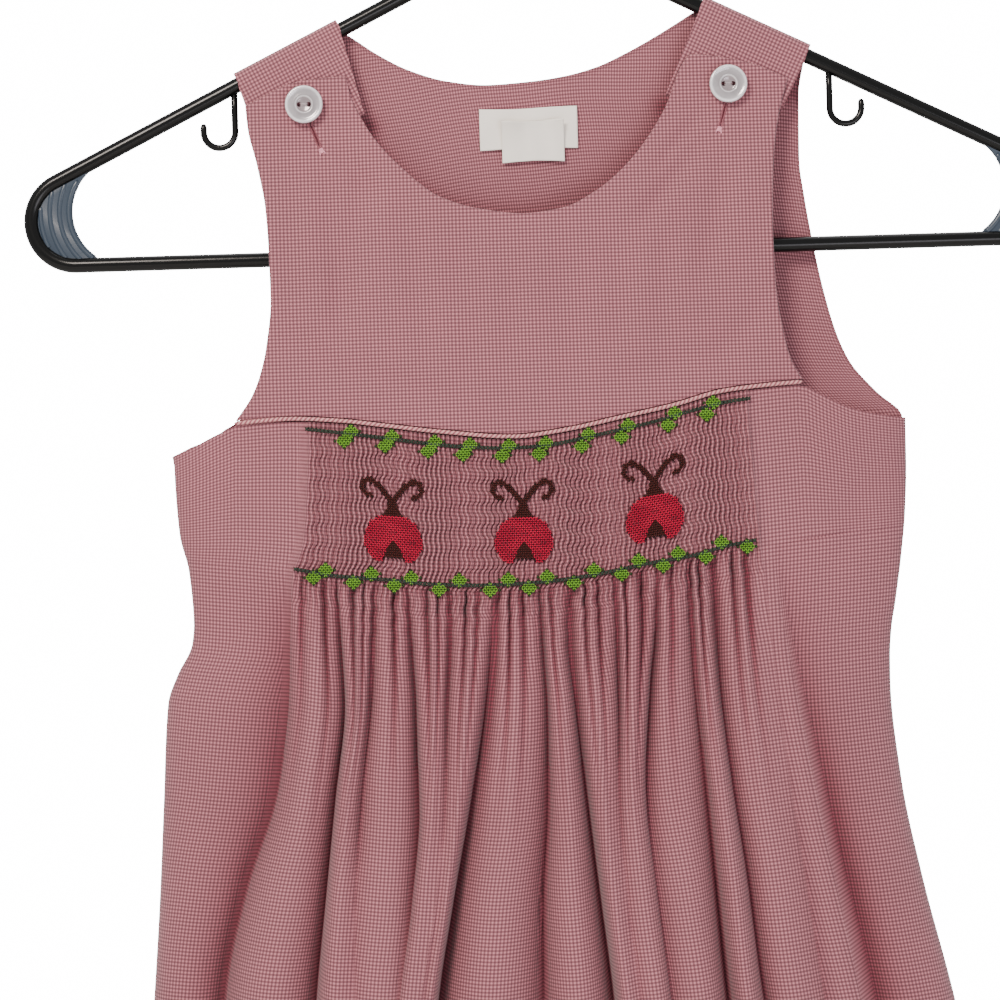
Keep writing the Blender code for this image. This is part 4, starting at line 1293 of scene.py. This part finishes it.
def trellis(width, top, foot):
    """Ends of the slanted stitches of a trellis about a middle, and the centres of its diamonds."""
    columns = np.arange(-round(width / TRELLIS_ACROSS), round(width / TRELLIS_ACROSS) + 1)
    lines = np.arange(round(top / TRELLIS_DOWN), round(foot / TRELLIS_DOWN) + 1)
    i, j = np.meshgrid(columns, lines)
    knots = (i + j) % 2 == 0
    starts = np.stack([i[knots], j[knots]], 1)
    size = (TRELLIS_ACROSS, TRELLIS_DOWN)
    down = np.stack([starts, starts + (1, 1)], 1) * size
    up = np.stack([starts, starts + (1, -1)], 1) * size
    return np.concatenate([down, up]), np.stack([i[~knots], j[~knots]], 1) * size


def on_crests(points, above):
    """Points (x, drop) laid on the crests of the pleats, as (x, y, drop)."""
    x, drop = points[..., 0], points[..., 1]
    return np.stack([x, -(front_depth(x, drop) + CREST_HEIGHT + above), drop], -1)


def place_motif(points, x, drop, slope):
    """Moves a motif's points to its place and slants its rows."""
    slant = drop + slope * points[..., 0]
    return points + np.stack([np.full(points.shape[:-1], x), slant], -1)


def sewn(name, parts, colour, above, **shape):
    """Puts all stitches of one colour into one piece, each a little lighter or darker."""
    ends = on_crests(np.concatenate(parts), above)
    tones = 1 + 0.14 * np.sin(np.arange(len(ends)) * 12.9898)
    made = stitches(name, ends, tones=tones, **shape)
    settle(made, floss(*colour))


NET = {"radius": THREAD_RADIUS, "lift": 0.12, "sides": 5, "rings": 5}
# The dark pads in the diamonds are painted shadow: flattened blobs under the threads.
SHADOW_PAD = {"radius": 0.62, "flat": 0.35, "sides": 5, "rings": 4}
SPOT = {"radius": 0.42, "flat": 0.5, "sides": 5, "rings": 5}
CABLE = {"radius": 0.42, "lift": 0.2, "sides": 5, "rings": 5}


def upright(centres, reach=0.8):
    """Short upright stitches about centres."""
    return np.stack([centres - (0, reach), centres + (0, reach)], 1)


# %% Ladybirds
red, brown, red_shadow_pads, brown_shadow_pads, spots = [], [], [], [], []
for x, drop, slope in LADYBIRDS:
    ends, diamonds = trellis(15, -26, 11)
    middle = ends.mean(axis=1)
    # The middles of the stitches make the net, and the diamonds get pads of painted shadow.
    for points, lists in ((middle, (red, brown)), (diamonds, (red_shadow_pads, brown_shadow_pads))):
        px, pz = points[:, 0], points[:, 1]
        dark = within(HEAD, px, pz) | within(TAIL, px, pz)
        dark |= near_line(FEELER, abs(px), pz) < FEELER_WIDTH
        body = within(BODY, px, pz) & ~dark & ~((pz > 7.4) & (abs(px) < 4.4))
        source = ends if points is middle else upright(diamonds)
        lists[0].append(place_motif(source[body], x, drop, slope))
        lists[1].append(place_motif(source[dark], x, drop, slope))
    spot = np.array(SPOTS)
    spot = np.concatenate([spot + (across, 0) for across in (-0.75, 0.75)])
    spots.append(place_motif(upright(spot, 1.1), x, drop, slope))
sewn("ladybird_bodies", red, ("ladybird red floss", "#a31233"), 0.42, **NET)
sewn("ladybird_heads", brown, ("dark brown floss", "#3c1410"), 0.42, **NET)
# Painted shadow in the diamonds of the ladybirds.
sewn("ladybird_body_shadow_pads", red_shadow_pads, ("painted shadow, deep red", "#2e0711"), 0.12, **SHADOW_PAD)
sewn("ladybird_head_shadow_pads", brown_shadow_pads, ("painted shadow, deep brown", "#1c0806"), 0.12, **SHADOW_PAD)
sewn("ladybird_spots", spots, ("maroon floss", "#56091b"), 0.66, **SPOT)

# %% Leaves
leaf_net, leaf_shadow_pads = [], []
ends, diamonds = trellis(LEAF_WIDTH / 2 + 1, -LEAF_HEIGHT, LEAF_HEIGHT)
middle = ends.mean(axis=1)


def in_leaf(points):
    return abs(points[:, 0]) / (LEAF_WIDTH / 2) + abs(points[:, 1]) / (LEAF_HEIGHT / 2) < 1.15


# Columns: vine, marks along it, how far each leaf lies sideways from its mark and below the vine
LEAF_SETS = (
    (TOP_VINE, TOP_LEAVES, 0.3, -1.0),
    (TOP_VINE, TOP_LEAVES, -2.6, 3.1),
    (FOOT_VINE, FOOT_UPPER_LEAVES, 0.0, -1.9),
    (FOOT_VINE, FOOT_LOWER_LEAVES, 0.0, 2.0),
)
for vine, marks, sideways, below in LEAF_SETS:
    for mark in marks:
        x = mark + sideways
        drop = float(read(vine, x)) + below
        leaf_net.append(place_motif(ends[in_leaf(middle)], x, drop, 0.0))
        leaf_shadow_pads.append(place_motif(upright(diamonds[in_leaf(diamonds)]), x, drop, 0.0))
sewn("leaf_stitches", leaf_net, ("leaf green floss", "#5f8d28"), 0.5, **NET)
# Painted shadow in the diamonds of the leaves.
sewn("leaf_shadow_pads", leaf_shadow_pads, ("painted shadow, deep green", "#1b3010"), 0.15, **SHADOW_PAD)

# %% Cable rows
CABLE_KNOTS = 116
CABLE_REACH = 0.95
CABLE_OVERLAP = 0.3

vine_ends = []
for vine in (TOP_VINE, FOOT_VINE):
    knots = np.linspace(vine[0][0], vine[-1][0], CABLE_KNOTS)
    middle_drop = read(vine, knots)
    for side in (1, -1):
        low = np.stack([knots[:-1], middle_drop[:-1] - side * CABLE_REACH], 1)
        high = np.stack([knots[1:] + CABLE_OVERLAP, middle_drop[1:] + side * CABLE_REACH], 1)
        vine_ends.append(np.stack([low, high], 1))
sewn("cable_rows", vine_ends, ("dark green floss", "#1f2c22"), 0.35, **CABLE)

# %% [markdown]
# ## Buttons and buttonholes
# Each strap of the yoke has one buttonhole, cut on the slant and worked over with satin stitch, with
# a bar at its foot. The buttons are turned from pearly resin and dished in the middle, with two
# holes for the thread. A profile turned about its own axis and two drilled holes make one.

# %% Buttons
BUTTONS = (("button_left", -94.8, 146.1), ("button_right", 78.8, 142.7))
BUTTON_SEAT = 6.0
HOLE_RADIUS = 0.95
HOLE_SPACING = 3.9
BUTTON_PROFILE = (
    (0.0, 1.35),
    (2.6, 1.45),
    (3.1, 1.7),
    (3.35, 2.15),
    (3.7, 2.3),
    (4.4, 2.15),
    (5.6, 2.1),
    (6.4, 2.35),
    (6.9, 2.6),
    (7.3, 2.5),
    (7.6, 2.1),
    (7.75, 1.5),
    (7.5, 0.95),
    (6.8, 0.5),
    (4.6, 0.0),
    (0.0, 0.0),
)

# The rings of a button's face: its own pearly grey, lighter on the two raised rims as painted
# highlight and darker in the dish and the groove as painted shade. Columns: share of its radius, colour
BUTTON_PAINTED_RINGS = (
    (0.38, "#857a7d"),
    (0.43, "#d2cfd1"),
    (0.5, "#8f898c"),
    (0.8, "#a39ea1"),
    (0.9, "#d8d5d8"),
)

pearl, tree, shader = new_material(
    "pearly resin", roughness=0.2, coat_weight=0.6, coat_roughness=0.06, metallic=0.15
)
place = node(tree, "ShaderNodeTexCoord")
swirl = node(
    tree,
    "ShaderNodeTexNoise",
    {"Scale": 130.0, "Detail": 2.0, "Distortion": 1.5},
    {"Vector": place.outputs["Object"]},
)
cloudy = node(tree, "ShaderNodeMapRange", {"To Min": 0.75, "To Max": 1.2}, {"Value": swirl.outputs[0]})
reach = node(tree, "ShaderNodeAttribute", {"attribute_name": "reach"})
# Painted highlight on the rims and painted shade in the dish, by distance from the middle.
rings = node(tree, "ShaderNodeValToRGB", links={0: reach.outputs["Fac"]})
rings.color_ramp.elements[0].color = linear("#8d8184")
rings.color_ramp.elements[1].color = linear("#e4e2e4")
for spot, tone in BUTTON_PAINTED_RINGS:
    rings.color_ramp.elements.new(spot).color = linear(tone)
dyes = {"Color": rings.outputs[0], "Value": cloudy.outputs[0]}
mottled = node(tree, "ShaderNodeHueSaturation", links=dyes)
tree.links.new(mottled.outputs[0], shader.inputs["Base Color"])


def seat_depth(x, drop):
    """How far the cloth stands out under a button."""
    reach = np.array([-BUTTON_SEAT, 0, BUTTON_SEAT])
    return float(front_depth(x + reach[:, None], drop + reach[None]).max()) + WALL + SEAM_GAP


def turned_button(name, x, drop):
    """Turns the profile about its axis, drills both holes and seats it on the cloth."""
    bpy.ops.object.select_all(action="DESELECT")
    bpy.ops.mesh.primitive_plane_add(size=1)
    made = bpy.context.object
    made.name = name
    profile = bpy.data.meshes.new(name)
    edges = [(n, n + 1) for n in range(len(BUTTON_PROFILE) - 1)]
    profile.from_pydata([(r * MM, 0, up * MM) for r, up in BUTTON_PROFILE], edges, [])
    made.data = profile
    turn = made.modifiers.new("turn", "SCREW")
    turn.steps = turn.render_steps = 64
    turn.use_merge_vertices = True
    turn.merge_threshold = 1e-5
    turn.use_normal_flip = False
    apply_modifiers(made)
    weld(made)
    for side in (-1, 1):
        bpy.ops.object.select_all(action="DESELECT")
        bpy.ops.mesh.primitive_cylinder_add(
            vertices=24,
            radius=HOLE_RADIUS * MM,
            depth=9 * MM,
            location=(side * HOLE_SPACING / 2 * MM, 0, 0),
        )
        drill = bpy.context.object
        cut = made.modifiers.new("hole", "BOOLEAN")
        cut.operation = "DIFFERENCE"
        cut.object = drill
        apply_modifiers(made)
        bpy.data.objects.remove(drill)
    depth = seat_depth(x, drop)
    rim = made.data.attributes.new("reach", "FLOAT", "POINT")
    for vertex in made.data.vertices:
        across, down, up = vertex.co
        rim.data[vertex.index].value = math.hypot(across, down) / (BUTTON_PROFILE[11][0] * MM)
        vertex.co = (x * MM + across, -depth * MM - up, -drop * MM + down)
    made.data.set_sharp_from_angle(angle=math.radians(50))
    return made


sewing_ends, hole_ends, slit_paths = [], [], []
for name, x, drop in BUTTONS:
    made = turned_button(f"{name}_turned", x, drop)
    settle(made, pearl, "pearl_plastic", name)
    front = -seat_depth(x, drop) - 1.1
    for shift in (-0.28, 0.28):
        left = (x - HOLE_SPACING / 2, front, drop + shift)
        right = (x + HOLE_SPACING / 2, front, drop + shift)
        sewing_ends.append((left, right))

button_thread = stitches("button_threads", sewing_ends, 0.22, lift=0.55, sides=6, rings=7)
settle(button_thread, floss("pale sewing thread", "#a89c9f"))

# %% Buttonholes
# Columns: x and drop of the upper and the lower end
BUTTONHOLES = ((-92.9, 152.9, -88.3, 165.0), (78.0, 149.6, 74.8, 160.9))
slits, satin, bars = [], [], []
for x0, drop0, x1, drop1 in BUTTONHOLES:
    run = np.array([x1 - x0, drop1 - drop0])
    length = np.hypot(*run)
    run = run / length
    side = np.array([run[1], -run[0]])
    for n in range(int(length / 0.5)):
        middle = np.array([x0, drop0]) + run * (n + 0.5) * 0.5
        for way in (-1, 1):
            satin.append((middle + side * way * 0.25, middle + side * way * 1.0))
    # The slit is a near-black thread of painted shadow along the cut.
    slits.append((np.array([x0, drop0]), np.array([x0, drop0]) + run * (length - 1)))
    for n in range(5):
        middle = np.array([x1, drop1]) + run * (n * 0.4 - 0.8)
        bars.append((middle - side * 1.25, middle + side * 1.25))
    for way in (-0.8, 0.8):
        foot = np.array([x1, drop1]) + side * way
        bars.append((foot, foot + run * 2.0 + side * way * 0.4))


def on_yoke(ends, lift):
    ends = np.array(ends)
    x, drop = ends[..., 0], ends[..., 1]
    depth = front_depth(x, drop) - crease_dip(x, drop, YOKE_CREASES)
    return np.stack([x, -(depth + lift), drop], -1)


for name, ends, colour, lift, radius in (
    ("buttonhole_slits", slits, ("shadow of the slit", "#4d1622"), 0.02, 0.26),
    ("buttonhole_satin", satin, ("pink satin stitch", "#8b525b"), 0.08, 0.24),
    ("buttonhole_bars", bars, ("pale pink bar tack", "#cf8a98"), 0.25, 0.3),
):
    made = stitches(name, on_yoke(ends, lift), radius, sides=5, rings=6)
    settle(made, floss(*colour))

# %% [markdown]
# ## Label and tab
# The woven label is sewn inside the back of the neck, and a smaller tab lies over its foot with its
# top edge curled. Both are bare here. They are strips of satin ribbon with a fine rib.

# %% Ribbons
def ribbon(name, left, right, top, bottom, thickness, lift):
    """A strip on the inside of the back. lift gives its distance from the cloth."""
    across = np.linspace(0, 1, 61)
    rows = []
    for share in np.linspace(0, 1, 37):
        x = mix(left, right, across)
        drop = mix(top, bottom, share) + 0.35 * np.sin(across * 5.0 + share * 2)
        away = lift(across, share)
        y = back_depth(x, drop, 0.0) - away
        points = np.stack([x, y, drop], 1)
        rows.append((np.arange(61.0), points, points[:, [0, 2]]))
    made = cloth_mesh(name, rows)
    solid = made.modifiers.new("ribbon", "SOLIDIFY")
    solid.thickness = thickness * MM
    solid.offset = 1.0
    apply_modifiers(made)
    made.data.shade_smooth()
    return made


def label_lift(across, share):
    return 0.35 + 0.25 * np.sin(across * 7 + share * 3) ** 2


def tab_lift(across, share):
    curl = 2.8 * (1 - share) ** 3 * (0.7 + 0.5 * np.sin(across * 6 + 1))
    return 1.15 + curl + 0.3 * np.sin(across * 9) ** 2


satin_ribbon, tree, shader = new_material("white satin ribbon", roughness=0.5, sheen_weight=0.2)
cloth = node(tree, "ShaderNodeUVMap", {"uv_map": "cloth"})
parts = node(tree, "ShaderNodeSeparateXYZ", links={0: cloth.outputs[0]})
rib = band(tree, parts.outputs[1], 0.6, 1.0)
ribbed = node(tree, "ShaderNodeBump", {"Strength": 0.5, "Distance": 0.06 * MM}, {"Height": rib})
tree.links.new(ribbed.outputs[0], shader.inputs["Normal"])
shader.inputs["Base Color"].default_value = linear("#e9e2d8")
label = ribbon("neck_label_ribbon", -23.4, 17.2, 148.0, 164.8, 0.35, label_lift)
settle(label, satin_ribbon, "white_ribbon", "neck_label")
tab = ribbon("size_tab_ribbon", -14.3, 11.5, 153.5, 170.2, 0.35, tab_lift)
settle(tab, satin_ribbon, "white_ribbon", "size_tab")

# %% [markdown]
# ## Hanger
# The hanger is moulded in black plastic: one tube bent into a triangle with a hook, a thin web in
# each rounded end and two small hooks for straps. Each tube is a path with a round bevel, turned
# into a mesh, and the webs are flat outlines with a thickness and four raised arcs.

# %% Hanger paths
ARM_BEND_RADIUS = 14.0
END_X = 191.0
END_DROP = 190.0
END_RADIUS = 18.2
HOOK_INNER_RADIUS = 21.0
HOOK_TIP_ANGLE = math.radians(196)
HOOK_LEAVE_ANGLE = math.radians(-60)
WEB_THICKNESS = 2.2
WEB_HOLLOW_X = 170.0
WEB_HOLLOW_DROP = 186.5
WEB_HOLLOW_RADIUS = 22.4
WEB_TIPS = (math.radians(-112), math.radians(-228))
WEB_TILT = -9.5
STRAP_HOOK_RADIUS = 6.5
STRAP_HOOK_TUBE = 1.35
STRAP_HOOK_LIP = 3.5
STRAP_HOOKS = ((-1, -124.1, 19.0), (1, 121.2, 18.0))

# The raised arcs on each web. Columns: distance from the hollow, half of its angle
WEB_RIDGES = ((1.2, 44), (5.0, 36), (9.0, 27), (12.8, 14))


def arc(x, drop, radius, start, end, steps):
    """Points (x, drop) on a circle. Angles are counted from +X towards +Z."""
    turns = np.linspace(start, end, steps + 1)
    return [(x + radius * math.cos(a), drop - radius * math.sin(a)) for a in turns]


def plastic_tube(name, path, radius, closed=False, tips=()):
    """A bevelled path in the hanger's plane, turned into a mesh."""
    bpy.ops.object.select_all(action="DESELECT")
    bpy.ops.curve.primitive_bezier_curve_add()
    made = bpy.context.object
    made.name = name
    curve = made.data
    curve.splines.clear()
    curve.bevel_depth = radius * MM
    curve.bevel_resolution = 6
    curve.use_fill_caps = True
    spline = curve.splines.new("POLY")
    spline.points.add(len(path) - 1)
    for target, (x, drop) in zip(spline.points, path):
        target.co = (x * MM, 0, -drop * MM, 1)
    for target, share in zip(reversed(spline.points), tips):
        target.radius = share
    spline.use_cyclic_u = closed
    bpy.ops.object.convert(target="MESH")
    weld(bpy.context.object)
    return bpy.context.object


def web_outline(side):
    steep = math.pi / 2 - ARM_SLOPE
    outer = arc(END_X, END_DROP, END_RADIUS, steep, -math.pi / 2, 29)
    inner = [
        (
            WEB_HOLLOW_X - WEB_HOLLOW_RADIUS * math.cos(a),
            WEB_HOLLOW_DROP - WEB_HOLLOW_RADIUS * math.sin(a),
        )
        for a in np.linspace(*WEB_TIPS, 30)
    ]
    outline = [(side * x, drop) for x, drop in outer + inner]
    return outline if side > 0 else outline[::-1]


def web_plate(name, side):
    """A flat outline with a thickness, stood up in the hanger's plane."""
    bpy.ops.object.select_all(action="DESELECT")
    bpy.ops.mesh.primitive_plane_add(size=1)
    made = bpy.context.object
    made.name = name
    flat = bpy.data.meshes.new(name)
    outline = web_outline(side)
    flat.from_pydata([(x * MM, 0, -drop * MM) for x, drop in outline], [], [tuple(range(len(outline)))])
    made.data = flat
    thick = made.modifiers.new("thickness", "SOLIDIFY")
    thick.thickness = WEB_THICKNESS * MM
    thick.offset = 0
    round_off = made.modifiers.new("edge", "BEVEL")
    round_off.width = 0.3 * MM
    round_off.segments = 2
    round_off.limit_method = "ANGLE"
    apply_modifiers(made)
    weld(made)
    made.data.set_sharp_from_angle(angle=math.radians(40))
    return made


# %% Hanger
steep = math.pi / 2 - ARM_SLOPE
top_drop = ARM_TOP_DROP + ARM_BEND_RADIUS / math.cos(ARM_SLOPE)
loop = arc(0, top_drop, ARM_BEND_RADIUS, math.pi - steep, steep, 16)
loop += arc(END_X, END_DROP, END_RADIUS, steep, -math.pi / 2, 36)
loop += arc(-END_X, END_DROP, END_RADIUS, -math.pi / 2, -math.pi - steep, 36)
hook_radius = HOOK_INNER_RADIUS + TUBE_RADIUS
stem_drop = HOOK_INNER_RADIUS + hook_radius * 2 * math.sin(-HOOK_LEAVE_ANGLE)
hook = [(0, ARM_TOP_DROP + TUBE_RADIUS)]
hook += arc(hook_radius, stem_drop, hook_radius, math.pi, math.pi + HOOK_LEAVE_ANGLE, 16)
hook += arc(0, HOOK_INNER_RADIUS, hook_radius, HOOK_LEAVE_ANGLE, HOOK_TIP_ANGLE, 60)[1:]
plastic = [
    plastic_tube("hanger_loop", loop, TUBE_RADIUS, closed=True),
    plastic_tube("hanger_hook", hook, TUBE_RADIUS, tips=(0.45, 0.75, 0.9, 0.97)),
]
webs = []
for side, x, stem in STRAP_HOOKS:
    low = arm_drop(x) + stem
    start, end = (math.pi, 2 * math.pi) if side > 0 else (0.0, -math.pi)
    curl = [(x, arm_drop(x)), (x, arm_drop(x) + stem / 2)]
    curl += arc(x + side * STRAP_HOOK_RADIUS, low, STRAP_HOOK_RADIUS, start, end, 28)
    curl += [(x + side * 2 * STRAP_HOOK_RADIUS, low - STRAP_HOOK_LIP * t) for t in (0.5, 0.8, 1.0)]
    plastic.append(plastic_tube(f"strap_hook_{side}", curl, STRAP_HOOK_TUBE, tips=(0.5, 0.85)))
    webs.append(web_plate(f"web_{side}", side))
    for step, half in WEB_RIDGES:
        start, end = (math.radians(WEB_TILT + way * half) for way in (-1, 1))
        ridge = arc(WEB_HOLLOW_X, WEB_HOLLOW_DROP, WEB_HOLLOW_RADIUS + step, start, end, 30)
        ridge = [(side * x, drop) for x, drop in ridge]
        webs.append(plastic_tube(f"web_ridge_{side}_{step}", ridge, 1.5, tips=(0.8, 0.9)))


def joined(pieces, name):
    bpy.ops.object.select_all(action="DESELECT")
    for piece in pieces:
        piece.select_set(True)
    bpy.context.view_layer.objects.active = pieces[0]
    bpy.ops.object.join()
    bpy.context.object.name = name
    return bpy.context.object


hanger_plastic, _, _ = new_material(
    "black moulded plastic", base_color=linear("#060606"), roughness=0.2, specular_ior_level=0.22
)
# The webs are black plastic too; their blue-grey colour is a painted reflection of the room.
blue_reflection_plastic, _, _ = new_material(
    "black plastic with a painted blue reflection", base_color=linear("#26323f"), roughness=0.35
)
hanger = joined(plastic, "moulded_hanger")
settle(hanger, hanger_plastic, "black_plastic", "hanger")
settle(joined(webs, "hanger_webs"), blue_reflection_plastic, "black_plastic", "hanger")
